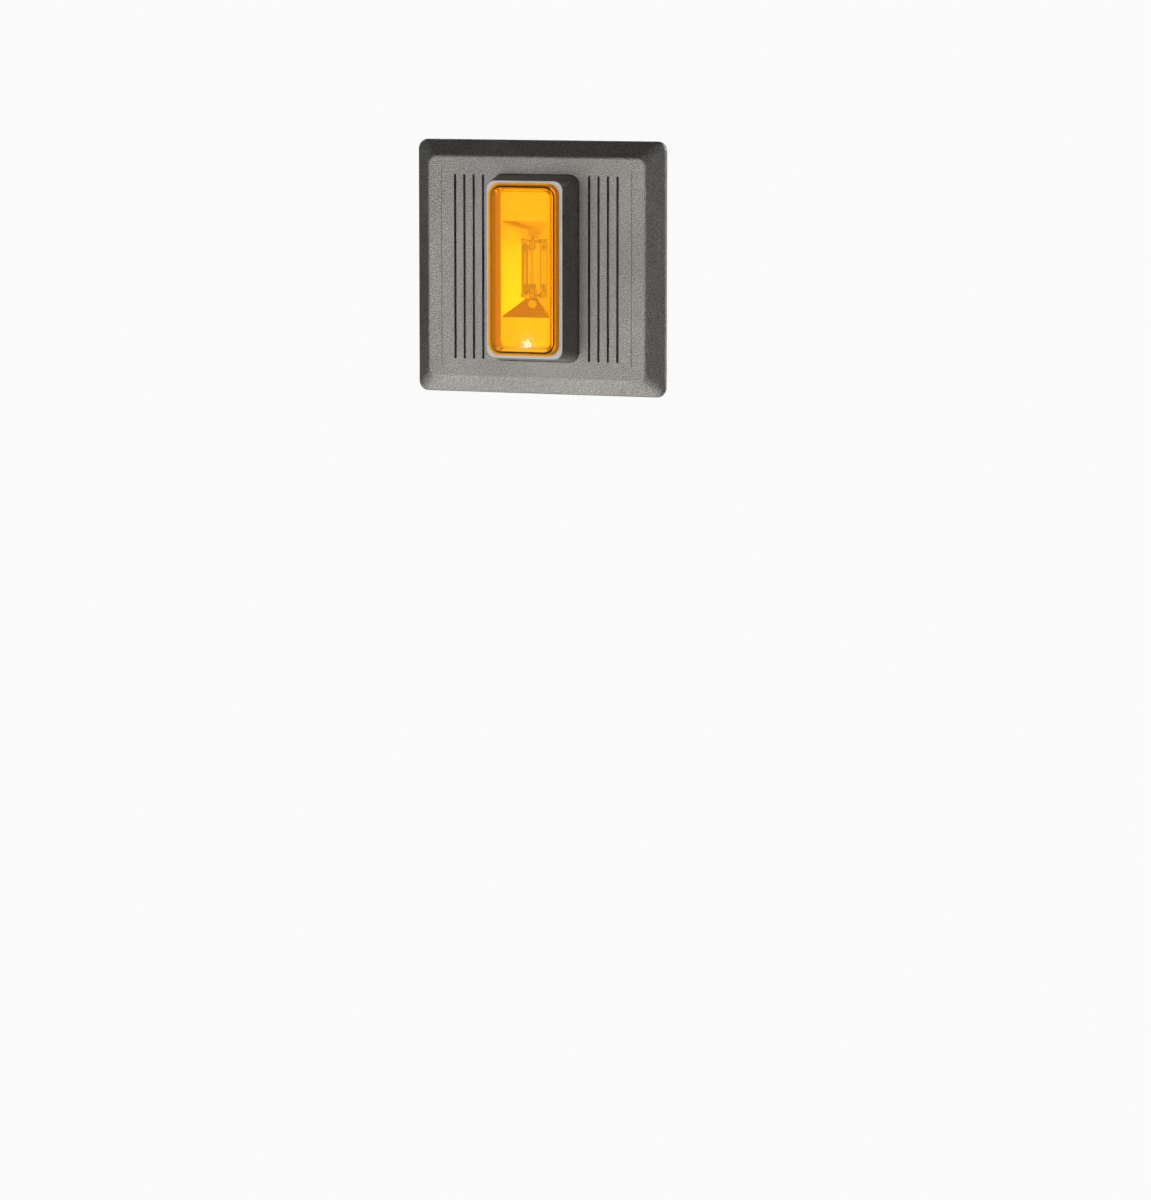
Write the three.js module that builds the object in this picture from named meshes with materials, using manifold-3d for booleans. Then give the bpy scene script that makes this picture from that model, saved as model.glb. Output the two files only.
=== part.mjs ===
// Wall-mounted signal head: an amber flashing light in a raised bezel, with a vibrating horn behind a slotted
// faceplate. The faceplate snaps on a steel frame, which is screwed over a recessed electrical box, and the horn
// pan hangs from the back of that frame inside the box.
//
// Millimetres. +X is to the viewer's right, +Z is up and the lens faces -Y. The wall's face is the plane y = 0,
// with the origin behind the middle of the lens. Most depths below are given as "ahead": the distance in front
// of the wall, so that y = -ahead, and pieces behind the wall have a negative one.

import * as THREE from "three";
import { mergeVertices } from "three/addons/utils/BufferGeometryUtils.js";
import Module from "manifold-3d";

// ---------------------------------------------------------------- driving dimensions

const GAP = 0.3; // air left between two pieces that rest on each other
const WALL = 2.2; // thickness of the cast and moulded shells

const PLATE = { width: 133.4, height: 127, corner: 4.4, edge: 2.5, front: 9, inset: 8.2, innerCorner: 2.8 };
const SLOT = { first: 28.6, pitch: 5.07, perSide: 4, halfHeight: 46.3, width: 1 };
const SCORE = { x: 51.3, halfHeight: 49.2, width: 0.4, depth: 0.25 };
const STUD = { x: 51.5, z: 40, radius: 1.8 };

const BEZEL = {
  base: { halfX: 23, halfZ: 46.5, radius: 5 },
  rim: { halfX: 20.6, halfZ: 44.3, radius: 3.9 },
  front: 24.3,
  flange: { halfX: 27.4, halfZ: 52.3, radius: 3, back: 3.3, thick: 1.5 },
  screws: { x: 14, z: 49.4 },
};
const LENS = {
  flange: { halfX: 18.9, halfZ: 42.9, radius: 6 },
  dome: { halfX: 16.2, halfZ: 40.7, radius: 4.6 },
  skirt: { halfX: 16.7, halfZ: 41.1, radius: 4.2 },
  hollow: { halfX: 14.6, halfZ: 39.1, radius: 3 },
  back: 22.2,
  flangeBack: BEZEL.front + GAP,
  flangeThick: 1.4,
  domeRise: 3,
};

const FRAME = { halfX: 57, halfZ: 53, radius: 3, thick: 1.5, mouth: 32.8 };
const BOX_SCREW_X = 44.45; // half of the 88.9 mm between the ears of an octagonal or square box
const PAN_SCREW = 37;
const BRACKET_SCREW_Z = 40;
const GROMMET = { x: 14, z: -41, hole: 3.2 };

const PAN = {
  flange: 41.5,
  flangeBack: -2.5,
  mouth: -GAP,
  pocket: 36.4,
  seat: -5.6,
  bore: 33,
  shoulder: 38.8,
  cup: 35.2,
  floor: -33.8,
  back: -36,
};
const COIL_X = -5;
const VOLUME = { x: 20, hole: 1.85, boss: 3.3 };
const HINGE_X = -22; // the armature rocks on the top of its bracket's leg
const CONTACT_X = 10;
const PUSHER_X = 15.2;

const BOARD = { halfX: 17.2, halfZ: 40, back: 9.2, front: 10.8 };
const REFLECTOR = {
  face: { halfX: 16.4, halfZ: 40.6, radius: 4 },
  mouth: { halfX: 13, halfZ: 23.8, radius: 0.5 },
  floor: { halfX: 2.6, halfZ: 14.5, radius: 0.4 },
  skin: 1.2,
  front: 21.8,
  depth: 8,
  posts: { x: 14.1, z: 35 },
};
const TUBE = { ahead: 17, radius: 2, halfLength: 12, pinZ: 13.4 };
const STANDOFF_Z = 33;

const TERMINAL = { halfX: 17, top: -13, bottom: -27, front: PAN.back - GAP, back: -47, pitch: 8, screwZ: -21 };
const LEAD_RADIUS = 0.65;

// ---------------------------------------------------------------- materials

function finish(color, roughness, metalness, extra = {}) {
  return new THREE.MeshStandardMaterial({ color, roughness, metalness, ...extra });
}

const grayPaint = finish(0x96928d, 0.6, 0.1);
const rimPaint = finish(0xa4a7ac, 0.5, 0.1);
const amber = finish(0xf2a012, 0.2, 0, { transparent: true, opacity: 0.8 });
const blackRubber = finish(0x1c1c1c, 0.9, 0);
const zincSteel = finish(0xb4b6b4, 0.4, 0.9);
const springSteel = finish(0x8d9093, 0.35, 0.9);
const blackPlastic = finish(0x202123, 0.55, 0);
const brass = finish(0xc9a24f, 0.35, 0.9);
const copperWire = finish(0x9c4a1f, 0.4, 0.6);
const mirrorPlate = finish(0xe8e4d8, 0.1, 0.9);
const flashGlass = finish(0xe9f1f2, 0.05, 0, { transparent: true, opacity: 0.5 });
const boardGreen = finish(0x2e6b3c, 0.5, 0);
const capSleeve = finish(0x23262f, 0.4, 0);
const phenolic = finish(0x5c3219, 0.6, 0);
const ivory = finish(0xddd8c8, 0.5, 0);
const redLead = finish(0xb3201d, 0.5, 0);
const blackLead = finish(0x17181a, 0.5, 0);

// ---------------------------------------------------------------- solids

const wasm = await Module();
wasm.setup();

// A closed geometry as a solid that can be cut and joined.
function solidOf(geometry) {
  const bare = geometry.index ? geometry.toNonIndexed() : geometry.clone();
  for (const name of Object.keys(bare.attributes)) {
    if (name !== "position") bare.deleteAttribute(name);
  }
  const merged = mergeVertices(bare, 1e-4);
  const corners = merged.index.array;
  const kept = [];
  for (let i = 0; i < corners.length; i += 3) {
    const [a, b, c] = corners.slice(i, i + 3);
    if (a !== b && b !== c && a !== c) kept.push(a, b, c);
  }
  const vertProperties = merged.attributes.position.array;
  return new wasm.Manifold(new wasm.Mesh({ numProp: 3, vertProperties, triVerts: new Uint32Array(kept) }));
}

function geometryOf(solid) {
  const mesh = solid.getMesh();
  const geometry = new THREE.BufferGeometry();
  geometry.setAttribute("position", new THREE.BufferAttribute(new Float32Array(mesh.vertProperties), 3));
  geometry.setIndex(new THREE.BufferAttribute(new Uint32Array(mesh.triVerts), 1));
  geometry.computeVertexNormals();
  return geometry;
}

function cut(body, ...tools) {
  return geometryOf(tools.reduce((left, tool) => left.subtract(solidOf(tool)), solidOf(body)));
}

function join(first, ...others) {
  return geometryOf(others.reduce((sum, other) => sum.add(solidOf(other)), solidOf(first)));
}

// ---------------------------------------------------------------- shapes

// The same piece on both sides of the middle: calls make(+1) and make(-1).
const bothSides = (make) => [1, -1].map(make);
// At the four corners of a rectangle, starting at the top right.
const fourCorners = (x, z) => [[x, z], [-x, z], [-x, -z], [x, -z]];

// A solid through rounded rectangles that lie across the depth, listed from the back to the front.
function tapered(sections, x = 0, z = 0, cornerSteps = 5) {
  const rings = sections.map(({ halfX, halfZ, radius, ahead }) => {
    const ring = [];
    for (let corner = 0; corner < 4; corner++) {
      const sideX = corner === 0 || corner === 3 ? 1 : -1;
      const sideZ = corner < 2 ? 1 : -1;
      for (let step = 0; step <= cornerSteps; step++) {
        const turn = (corner + step / cornerSteps) * (Math.PI / 2);
        ring.push([
          x + sideX * (halfX - radius) + radius * Math.cos(turn),
          -ahead,
          z + sideZ * (halfZ - radius) + radius * Math.sin(turn),
        ]);
      }
    }
    return ring;
  });
  const count = rings[0].length;
  const faces = [];
  for (let level = 0; level + 1 < rings.length; level++) {
    const [back, front] = [rings[level], rings[level + 1]];
    for (let i = 0; i < count; i++) {
      const next = (i + 1) % count;
      faces.push(back[i], back[next], front[i], back[next], front[next], front[i]);
    }
  }
  const last = rings[rings.length - 1];
  for (let i = 1; i + 1 < count; i++) {
    faces.push(last[0], last[i], last[i + 1], rings[0][0], rings[0][i + 1], rings[0][i]);
  }
  const geometry = new THREE.BufferGeometry();
  geometry.setAttribute("position", new THREE.Float32BufferAttribute(faces.flat(), 3));
  return geometry;
}

// A flat plate with rounded corners, between two depths.
function plate({ halfX, halfZ, radius }, back, front, x = 0, z = 0, cornerSteps = 4) {
  const outline = { halfX, halfZ, radius };
  return tapered([{ ...outline, ahead: back }, { ...outline, ahead: front }], x, z, cornerSteps);
}

// A box given by its limits in X, in depth and in Z.
function block(left, right, back, front, bottom, top) {
  const box = new THREE.BoxGeometry(right - left, front - back, top - bottom);
  return box.translate((left + right) / 2, -(back + front) / 2, (bottom + top) / 2);
}

// A cylinder along the depth.
function disc(radius, back, front, x = 0, z = 0, sides = 20) {
  const cylinder = new THREE.CylinderGeometry(radius, radius, front - back, sides);
  return cylinder.translate(x, -(back + front) / 2, z);
}

// A cylinder along Z.
function upright(radius, bottom, top, x, ahead, sides = 16) {
  const cylinder = new THREE.CylinderGeometry(radius, radius, top - bottom, sides);
  return cylinder.rotateX(Math.PI / 2).translate(x, -ahead, (bottom + top) / 2);
}

// A body turned about the depth axis from [radius, ahead] points.
function turned(profile, sides = 48, x = 0, z = 0) {
  const points = profile.map(([radius, ahead]) => new THREE.Vector2(radius, -ahead));
  return new THREE.LatheGeometry(points, sides).translate(x, 0, z);
}

// A flat ring about the depth axis.
function ring(inner, outer, back, front, sides = 48) {
  return turned([[inner, front], [outer, front], [outer, back], [inner, back], [inner, front]], sides);
}

// A strip bent in the X-depth plane, given by its outline of [x, ahead] points, and centred at z.
function bentStrip(outline, halfWidth, z = 0) {
  const shape = new THREE.Shape(outline.map(([x, ahead]) => new THREE.Vector2(x, -ahead)));
  const strip = new THREE.ExtrudeGeometry(shape, { depth: 2 * halfWidth, bevelEnabled: false });
  return strip.translate(0, 0, z - halfWidth);
}

// A round wire through [x, ahead, z] points.
function wire(points, radius, steps) {
  const path = new THREE.CatmullRomCurve3(points.map(([x, ahead, z]) => new THREE.Vector3(x, -ahead, z)));
  const corners = [];
  for (let i = 0; i < 8; i++) {
    const turn = (i / 8) * 2 * Math.PI;
    corners.push(new THREE.Vector2(radius * Math.cos(turn), radius * Math.sin(turn)));
  }
  return new THREE.ExtrudeGeometry(new THREE.Shape(corners), { steps, extrudePath: path, bevelEnabled: false });
}

// A screw along the depth: the underside of its head is at "seat", its head faces ahead or, with facing -1, back.
function screw({ x, z, seat, head, headThick, shank, length, facing = 1 }) {
  const span = (from, to) => [Math.min(from, to), Math.max(from, to)];
  const top = seat + facing * headThick;
  const headPiece = disc(head, ...span(seat, top), x, z, 16);
  const shankPiece = disc(shank, ...span(seat - facing * length, seat + (facing * headThick) / 2), x, z, 12);
  const slotHalf = head * 0.14;
  const [low, high] = span(top - facing * headThick * 0.45, top + facing);
  const driveSlot = block(x - head * 1.1, x + head * 1.1, low, high, z - slotHalf, z + slotHalf);
  return cut(join(headPiece, shankPiece), driveSlot);
}

function piece(name, geometry, material) {
  const mesh = new THREE.Mesh(geometry, material);
  mesh.name = name;
  return mesh;
}

function group(...members) {
  return new THREE.Group().add(...members.flat());
}

// ---------------------------------------------------------------- snap-on front

function makeFaceplate() {
  const halfX = PLATE.width / 2;
  const halfZ = PLATE.height / 2;
  const { corner, edge, front, inset, innerCorner } = PLATE;
  const shell = tapered([
    { halfX, halfZ, radius: corner, ahead: 0 },
    { halfX, halfZ, radius: corner, ahead: edge },
    { halfX: halfX - inset, halfZ: halfZ - inset, radius: innerCorner, ahead: front },
  ]);
  const inner = halfX - WALL;
  const innerTop = halfZ - WALL;
  const slope = inset - 0.7;
  const cavity = tapered([
    { halfX: inner, halfZ: innerTop, radius: corner - 1.6, ahead: -1 },
    { halfX: inner, halfZ: innerTop, radius: corner - 1.6, ahead: edge - 0.8 },
    { halfX: inner - slope, halfZ: innerTop - slope, radius: 1.8, ahead: front - WALL },
  ]);
  const window = { halfX: BEZEL.base.halfX + GAP, halfZ: BEZEL.base.halfZ + GAP, radius: BEZEL.base.radius + GAP };
  const openings = [cavity, plate(window, front - WALL - 1, front + 1, 0, 0, 5)];
  const slot = { halfX: SLOT.width / 2, halfZ: SLOT.halfHeight, radius: SLOT.width / 2 - 0.01 };
  for (const side of [1, -1]) {
    for (let i = 0; i < SLOT.perSide; i++) {
      const x = side * (SLOT.first + i * SLOT.pitch);
      openings.push(plate(slot, front - WALL - 1, front + 1, x, 0, 2));
    }
    const x = side * SCORE.x;
    const half = SCORE.width / 2;
    openings.push(block(x - half, x + half, front - SCORE.depth, front + 1, -SCORE.halfHeight, SCORE.halfHeight));
  }
  const studs = fourCorners(STUD.x, STUD.z).map(([x, z]) => disc(STUD.radius, 2.6, front - 1, x, z, 14));
  const posts = fourCorners(BEZEL.screws.x, BEZEL.screws.z).map(([x, z]) => disc(2.5, 5.1, front - 1, x, z, 16));
  const pilots = fourCorners(BEZEL.screws.x, BEZEL.screws.z).map(([x, z]) => disc(1.35, 4, 8, x, z, 12));
  return cut(join(cut(shell, ...openings), ...studs, ...posts), ...pilots);
}

function makeBezel() {
  const { base, rim, front, flange, screws } = BEZEL;
  const outside = tapered([
    { ...base, ahead: flange.back },
    { ...base, ahead: PLATE.front },
    { ...rim, ahead: front },
  ]);
  const inside = tapered([
    { halfX: base.halfX - 2, halfZ: base.halfZ - 2, radius: 3.4, ahead: flange.back - 1 },
    { halfX: base.halfX - 2, halfZ: base.halfZ - 2, radius: 3.4, ahead: PLATE.front },
    { halfX: rim.halfX - 1.7, halfZ: rim.halfZ - 1.8, radius: 3, ahead: front - 2.7 },
  ]);
  const neck = { halfX: LENS.skirt.halfX + 0.4, halfZ: LENS.skirt.halfZ + 0.4, radius: 4.6 };
  const rebate = { halfX: LENS.flange.halfX - 0.6, halfZ: LENS.flange.halfZ - 0.6, radius: 5.5 };
  const holes = fourCorners(screws.x, screws.z).map(([x, z]) => disc(1.5, 3, 5, x, z, 12));
  return cut(
    join(outside, plate(flange, flange.back, flange.back + flange.thick)),
    inside,
    plate(neck, front - 3.5, front + 1),
    plate(rebate, front - 1, front + 1),
    ...holes,
  );
}

function makeLens() {
  const { flange, dome, skirt, hollow, back, flangeBack, flangeThick, domeRise } = LENS;
  const face = flangeBack + flangeThick;
  const top = face + domeRise;
  const smaller = (by) => ({ halfX: dome.halfX - by, halfZ: dome.halfZ - by, radius: dome.radius - by });
  const crown = tapered([
    { ...dome, ahead: face - 0.5 },
    { ...dome, ahead: top - 1.5 },
    { ...smaller(0.25), ahead: top - 0.7 },
    { ...smaller(0.8), ahead: top - 0.2 },
    { ...smaller(1.6), ahead: top },
  ]);
  const body = join(plate(skirt, back, flangeBack + 0.5), plate(flange, flangeBack, face, 0, 0, 5), crown);
  return cut(body, plate(hollow, back - 1, top - 2));
}

function makeLensGasket() {
  const outer = { halfX: LENS.flange.halfX - 0.9, halfZ: LENS.flange.halfZ - 0.9, radius: 5.2 };
  const inner = { halfX: LENS.skirt.halfX + 0.4, halfZ: LENS.skirt.halfZ + 0.4, radius: 4.6 };
  const back = BEZEL.front - 0.7;
  return cut(plate(outer, back, back + 0.6), plate(inner, back - 1, back + 2));
}

function makeFront() {
  const seat = BEZEL.flange.back - GAP;
  const screws = fourCorners(BEZEL.screws.x, BEZEL.screws.z).map(([x, z], i) => {
    const size = { x, z, seat, head: 2.3, headThick: 1, shank: 1, length: 4.4, facing: -1 };
    return piece(`bezel_screw_${i + 1}`, screw(size), zincSteel);
  });
  return group(
    piece("faceplate", makeFaceplate(), grayPaint),
    piece("lens_bezel", makeBezel(), rimPaint),
    piece("lens_gasket", makeLensGasket(), blackRubber),
    piece("lens", makeLens(), amber),
    screws,
  );
}

// ---------------------------------------------------------------- steel frame on the wall box

function makeMountingFrame() {
  const holes = [disc(FRAME.mouth, -1, 3, 0, 0, 48), disc(GROMMET.hole, -1, 3, GROMMET.x, GROMMET.z)];
  for (const side of [1, -1]) {
    holes.push(plate({ halfX: 5, halfZ: 2.3, radius: 2.29 }, -1, 3, side * BOX_SCREW_X, 0));
    holes.push(disc(1.7, -1, 3, 0, side * BRACKET_SCREW_Z, 12));
  }
  fourCorners(PAN_SCREW, PAN_SCREW).forEach(([x, z]) => holes.push(disc(1.7, -1, 3, x, z, 12)));
  return cut(plate(FRAME, 0, FRAME.thick), ...holes);
}

// A spring clip with two legs that grip one of the faceplate's studs.
function makeGripClip(x, z) {
  const foot = FRAME.thick + GAP;
  const inner = STUD.radius + 0.5;
  const outer = inner + 0.4;
  const outline = [
    [-outer, foot], [outer, foot], [outer + 0.3, 4], [outer + 0.9, 5.6], [inner + 0.9, 5.6],
    [inner + 0.3, 4], [inner, foot + 0.4], [-inner, foot + 0.4], [-inner - 0.3, 4],
    [-inner - 0.9, 5.6], [-outer - 0.9, 5.6], [-outer - 0.3, 4],
  ].map(([across, ahead]) => [x + across, ahead]);
  return bentStrip(outline, 3, z);
}

function makeFrame() {
  const seat = FRAME.thick + GAP;
  const clips = fourCorners(STUD.x, STUD.z).map(([x, z], i) =>
    piece(`grip_clip_${i + 1}`, makeGripClip(x, z), springSteel),
  );
  const boxScrews = bothSides((side) => {
    const size = { x: side * BOX_SCREW_X, z: 0, seat, head: 3.7, headThick: 2.2, shank: 1.7, length: 20 };
    return piece(side > 0 ? "box_screw_right" : "box_screw_left", screw(size), zincSteel);
  });
  const grommet = turned([
    [2.3, 2.6], [3.9, 2.6], [3.9, 1.8], [2.9, 1.8], [2.9, 0], [2.3, 0], [2.3, 2.6],
  ], 20, GROMMET.x, GROMMET.z);
  return group(
    piece("mounting_frame", makeMountingFrame(), zincSteel),
    piece("lead_grommet", grommet, blackRubber),
    clips,
    boxScrews,
  );
}

// ---------------------------------------------------------------- horn

function makePan() {
  const { flange, flangeBack, mouth, pocket, seat, bore, shoulder, cup, floor, back } = PAN;
  const bowl = turned([
    [0, floor], [bore, floor], [bore, seat], [pocket, seat], [pocket, mouth],
    [shoulder, mouth], [shoulder, seat - WALL], [cup, seat - WALL - 2], [cup, back], [0, back],
  ]);
  const rim = cut(plate({ halfX: flange, halfZ: flange, radius: 4 }, flangeBack, mouth), disc(37, -9, 1, 0, 0, 48));
  const bosses = fourCorners(PAN_SCREW, PAN_SCREW).map(([x, z]) => disc(4, -12, mouth, x, z));
  const pilots = fourCorners(PAN_SCREW, PAN_SCREW).map(([x, z]) => disc(1.6, -10, 1, x, z, 12));
  const volumeBoss = disc(VOLUME.boss, floor - 1, -28.5, VOLUME.x, 0);
  return cut(
    join(bowl, rim, volumeBoss, ...bosses),
    ...pilots,
    disc(VOLUME.hole, back - 1, -28, VOLUME.x, 0, 16),
    disc(1.3, back - 1, floor + 1, -8, -18, 12),
    block(GROMMET.x - 3.4, GROMMET.x + 3.4, flangeBack - 1, 1, -flange - 4, -37.4),
  );
}

function makeDiaphragm() {
  return turned([
    [0, -4.7], [5, -4.7], [5, -4.9], [22, -4.9], [23.5, -4.2], [25, -4.9], [36, -4.9],
    [36, -5.3], [25.2, -5.3], [23.5, -4.6], [21.8, -5.3], [5, -5.3], [5, -5.9], [0, -5.9],
  ]);
}

function makeBobbin() {
  const profile = [
    [4.6, -16.2], [10.5, -16.2], [10.5, -17.2], [5.4, -17.2], [5.4, -30.2], [10.5, -30.2],
    [10.5, -31.2], [4.6, -31.2], [4.6, -16.2],
  ];
  return turned(profile, 24, COIL_X);
}

// A flat contact leaf with its round point, which faces the other leaf.
function makeContactLeaf(back, front, pointBack, pointFront) {
  const leaf = block(8, 29, back, front, -3.5, 3.5);
  return join(leaf, disc(1.5, pointBack, pointFront, CONTACT_X, 0, 14));
}

function makeHornMagnet() {
  const bracket = join(block(-24, 8, -33.5, -31.5, -9, 9), block(-24, HINGE_X, -33.5, -13.7, -9, 9));
  const winding = turned([[5.7, -17.5], [10, -17.5], [10, -29.9], [5.7, -29.9], [5.7, -17.5]], 24, COIL_X);
  return group(
    piece("magnet_bracket", bracket, zincSteel),
    piece("magnet_core", disc(4.2, -31.2, -13.9, COIL_X), zincSteel),
    piece("coil_bobbin", makeBobbin(), ivory),
    piece("coil_winding", winding, copperWire),
    piece("armature", block(-21.5, 17, -13.4, -11.4, -6, 6), zincSteel),
    piece("striker_pin", disc(1.5, -11.1, -6.9, 0, 0, 14), brass),
    piece("armature_spring", bentStrip([
      [-24.7, -10.7], [-24.7, -19], [-24.3, -19], [-24.3, -11.1], [-8, -11.1], [-8, -10.7],
    ].reverse(), 5), springSteel),
  );
}

function makeInterrupter() {
  const stack = cut(
    block(24, 30, -33.5, -12.9, -6, 6),
    block(23, 29.4, -18.4, -17.4, -7, 7),
    block(23, 29.4, -15.5, -14.5, -7, 7),
  );
  const upperLeaf = makeContactLeaf(-15.2, -14.8, -16.5, -15);
  const volumeScrew = screw({
    x: VOLUME.x, z: 0, seat: -36.9, head: 3.2, headThick: 2.2, shank: 1.45, length: 18, facing: -1,
  });
  return group(
    piece("contact_block", stack, phenolic),
    piece("upper_contact_leaf", cut(upperLeaf, disc(1.9, -16, -14, PUSHER_X, 0, 14)), springSteel),
    piece("lower_contact_leaf", makeContactLeaf(-18.1, -17.7, -17.9, -16.8), springSteel),
    piece("contact_pusher", disc(1.2, -17.4, -13.7, PUSHER_X, 0, 14), phenolic),
    piece("volume_screw", volumeScrew, brass),
  );
}

function makeHorn() {
  const panScrews = fourCorners(PAN_SCREW, PAN_SCREW).map(([x, z], i) => {
    const size = { x, z, seat: FRAME.thick + GAP, head: 2.7, headThick: 1.6, shank: 1.25, length: 11 };
    return piece(`pan_screw_${i + 1}`, screw(size), zincSteel);
  });
  const earth = [[-5, -28, -10.8], [0, -30.5, -13.5], [10, -31.8, -15], [20, -31.6, -12.5], [26.5, -31, -7]];
  const feed = [[-8, -27, -10.6], [-9, -29.5, -13.5], [-8.3, -32, -16.8], [-8, -34.5, -18], [-8, -37, -18]];
  return group(
    piece("horn_pan", makePan(), blackPlastic),
    piece("diaphragm", makeDiaphragm(), springSteel),
    piece("diaphragm_gasket", ring(33.4, 36, -4.6, -3.9), blackRubber),
    piece("clamp_ring", ring(33.2, 36, -3.6, -0.6), zincSteel),
    panScrews,
    makeHornMagnet(),
    makeInterrupter(),
    piece("coil_contact_lead", wire(earth, LEAD_RADIUS, 20), redLead),
    piece("coil_feed_lead", wire(feed, LEAD_RADIUS, 14), blackLead),
  );
}

// ---------------------------------------------------------------- flashing light

function makeReflector() {
  const { face, mouth, floor, skin, front, depth, posts } = REFLECTOR;
  const wider = ({ halfX, halfZ, radius }) => ({ halfX: halfX + 1.4, halfZ: halfZ + 1.4, radius: radius + 0.6 });
  const faceBack = front - skin;
  const floorFront = front - depth;
  const body = join(
    plate(face, faceBack, front),
    tapered([{ ...wider(floor), ahead: floorFront - skin }, { ...wider(mouth), ahead: faceBack + 0.1 }], 0, 0, 1),
    ...fourCorners(posts.x, posts.z).map(([x, z]) => disc(2, BOARD.front + GAP, faceBack + 0.5, x, z, 12)),
    ...fourCorners(posts.x, posts.z).map(([x, z]) => disc(0.9, BOARD.back - 0.4, BOARD.front + 1, x, z, 10)),
  );
  const steep = (mouth.halfX - floor.halfX) / depth;
  const tall = (mouth.halfZ - floor.halfZ) / depth;
  const beyond = { halfX: mouth.halfX + steep, halfZ: mouth.halfZ + tall, radius: mouth.radius };
  const trough = tapered([{ ...floor, ahead: floorFront }, { ...beyond, ahead: front + 1 }], 0, 0, 1);
  const pinHoles = bothSides((side) => disc(0.85, floorFront - 3, floorFront + 1, 0, side * TUBE.pinZ, 10));
  return cut(body, trough, ...pinHoles);
}

// An end cap of the flash tube, with the pin that carries it back to the board.
function makeTubeCap(side) {
  const inner = side * (TUBE.halfLength + GAP);
  const outer = side * 14.7;
  const cap = upright(2.4, Math.min(inner, outer), Math.max(inner, outer), 0, TUBE.ahead);
  return join(cap, disc(0.5, BOARD.back - 0.6, TUBE.ahead, 0, side * TUBE.pinZ, 10));
}

function makeBoard() {
  const { posts } = REFLECTOR;
  const { halfX, halfZ, back, front } = BOARD;
  const through = (radius, x, z) => disc(radius, back - 1, front + 1, x, z, 12);
  return cut(
    plate({ halfX, halfZ, radius: 2 }, back, front, 0, 0, 3),
    ...fourCorners(posts.x, posts.z).map(([x, z]) => through(1.3, x, z)),
    ...bothSides((side) => through(0.9, 0, side * TUBE.pinZ)),
    ...bothSides((side) => through(1.6, 0, side * STANDOFF_Z)),
  );
}

function makeStrobeBracket() {
  const back = FRAME.thick + GAP;
  const strip = plate({ halfX: 5, halfZ: 43.5, radius: 2 }, back, 3, 0, 0, 3);
  const standoffs = bothSides((side) => disc(2.5, 2.5, BOARD.back - GAP, 0, side * STANDOFF_Z, 12));
  const threads = bothSides((side) => disc(1.6, 1, BOARD.back, 0, side * STANDOFF_Z, 12));
  const holes = bothSides((side) => disc(1.7, 1, 4, 0, side * BRACKET_SCREW_Z, 12));
  return cut(join(strip, ...standoffs), ...threads, ...holes);
}

function makeStrobeScrews() {
  return bothSides((side) => {
    const where = side > 0 ? "top" : "bottom";
    const board = { x: 0, z: side * STANDOFF_Z, seat: BOARD.front + GAP, head: 2.5, headThick: 1.4 };
    const strip = { x: 0, z: side * BRACKET_SCREW_Z, seat: 3 + GAP, head: 2.6, headThick: 1.6 };
    return [
      piece(`board_screw_${where}`, screw({ ...board, shank: 1.2, length: 6 }), zincSteel),
      piece(`bracket_screw_${where}`, screw({ ...strip, shank: 1.3, length: 3 }), zincSteel),
    ];
  }).flat();
}

function makeBoardParts() {
  const back = BOARD.back - GAP;
  const drum = [[0, back], [5.2, back], [5.2, 7.7], [3.6, 7], [3.6, 3.8], [5.2, 3.1], [5.2, 1.9], [0, 1.9]];
  return group(
    piece("flash_capacitor", upright(4.5, -26, 2, -11.5, 4.4, 20), capSleeve),
    piece("trigger_coil", disc(4.2, 2.4, back, 11.5, 14), blackPlastic),
    piece("choke", turned(drum, 20, 11.5, -8), blackPlastic),
    piece("lead_connector", block(8.7, 15.7, 3, back, -29.4, -24), ivory),
  );
}

function makeStrobe() {
  const caps = bothSides((side) => piece(`tube_cap_${side > 0 ? "top" : "bottom"}`, makeTubeCap(side), zincSteel));
  return group(
    piece("reflector", makeReflector(), mirrorPlate),
    piece("flash_tube", upright(TUBE.radius, -TUBE.halfLength, TUBE.halfLength, 0, TUBE.ahead), flashGlass),
    caps,
    piece("strobe_board", makeBoard(), boardGreen),
    piece("strobe_bracket", makeStrobeBracket(), zincSteel),
    makeStrobeScrews(),
    makeBoardParts(),
  );
}

// ---------------------------------------------------------------- terminals and leads

const POLES = [-1.5, -0.5, 0.5, 1.5].map((step) => step * TERMINAL.pitch);
const WIRE_ENTRY = { half: 1.8, back: -44.4, front: -40.8, depth: 5.2 };
const LEAD_ENTRY_AHEAD = -42;

function makeTerminalBlock() {
  const { halfX, top, bottom, front, back, screwZ } = TERMINAL;
  const ribs = POLES.slice(1).map((x) => {
    const middle = x - TERMINAL.pitch / 2;
    return block(middle - 0.5, middle + 0.5, back - 1.2, back + 0.5, bottom, top);
  });
  const wells = POLES.map((x) => disc(2.9, back - 2, -43.2, x, screwZ, 16));
  const threads = POLES.map((x) => disc(1.6, -44, -39.5, x, screwZ, 12));
  const entries = POLES.map((x) => {
    const { half, back: low, front: high, depth } = WIRE_ENTRY;
    return block(x - half, x + half, low, high, top - depth, top + 1);
  });
  const leadHoles = [POLES[2], POLES[3]].map((x) => upright(1.2, bottom - 1, bottom + 2.4, x, LEAD_ENTRY_AHEAD, 10));
  const feedHole = disc(1.3, -38, front + 1, -8, -18, 12);
  const body = join(block(-halfX, halfX, back, front, bottom, top), ...ribs);
  return cut(body, ...wells, ...threads, ...entries, ...leadHoles, feedHole);
}

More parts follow.
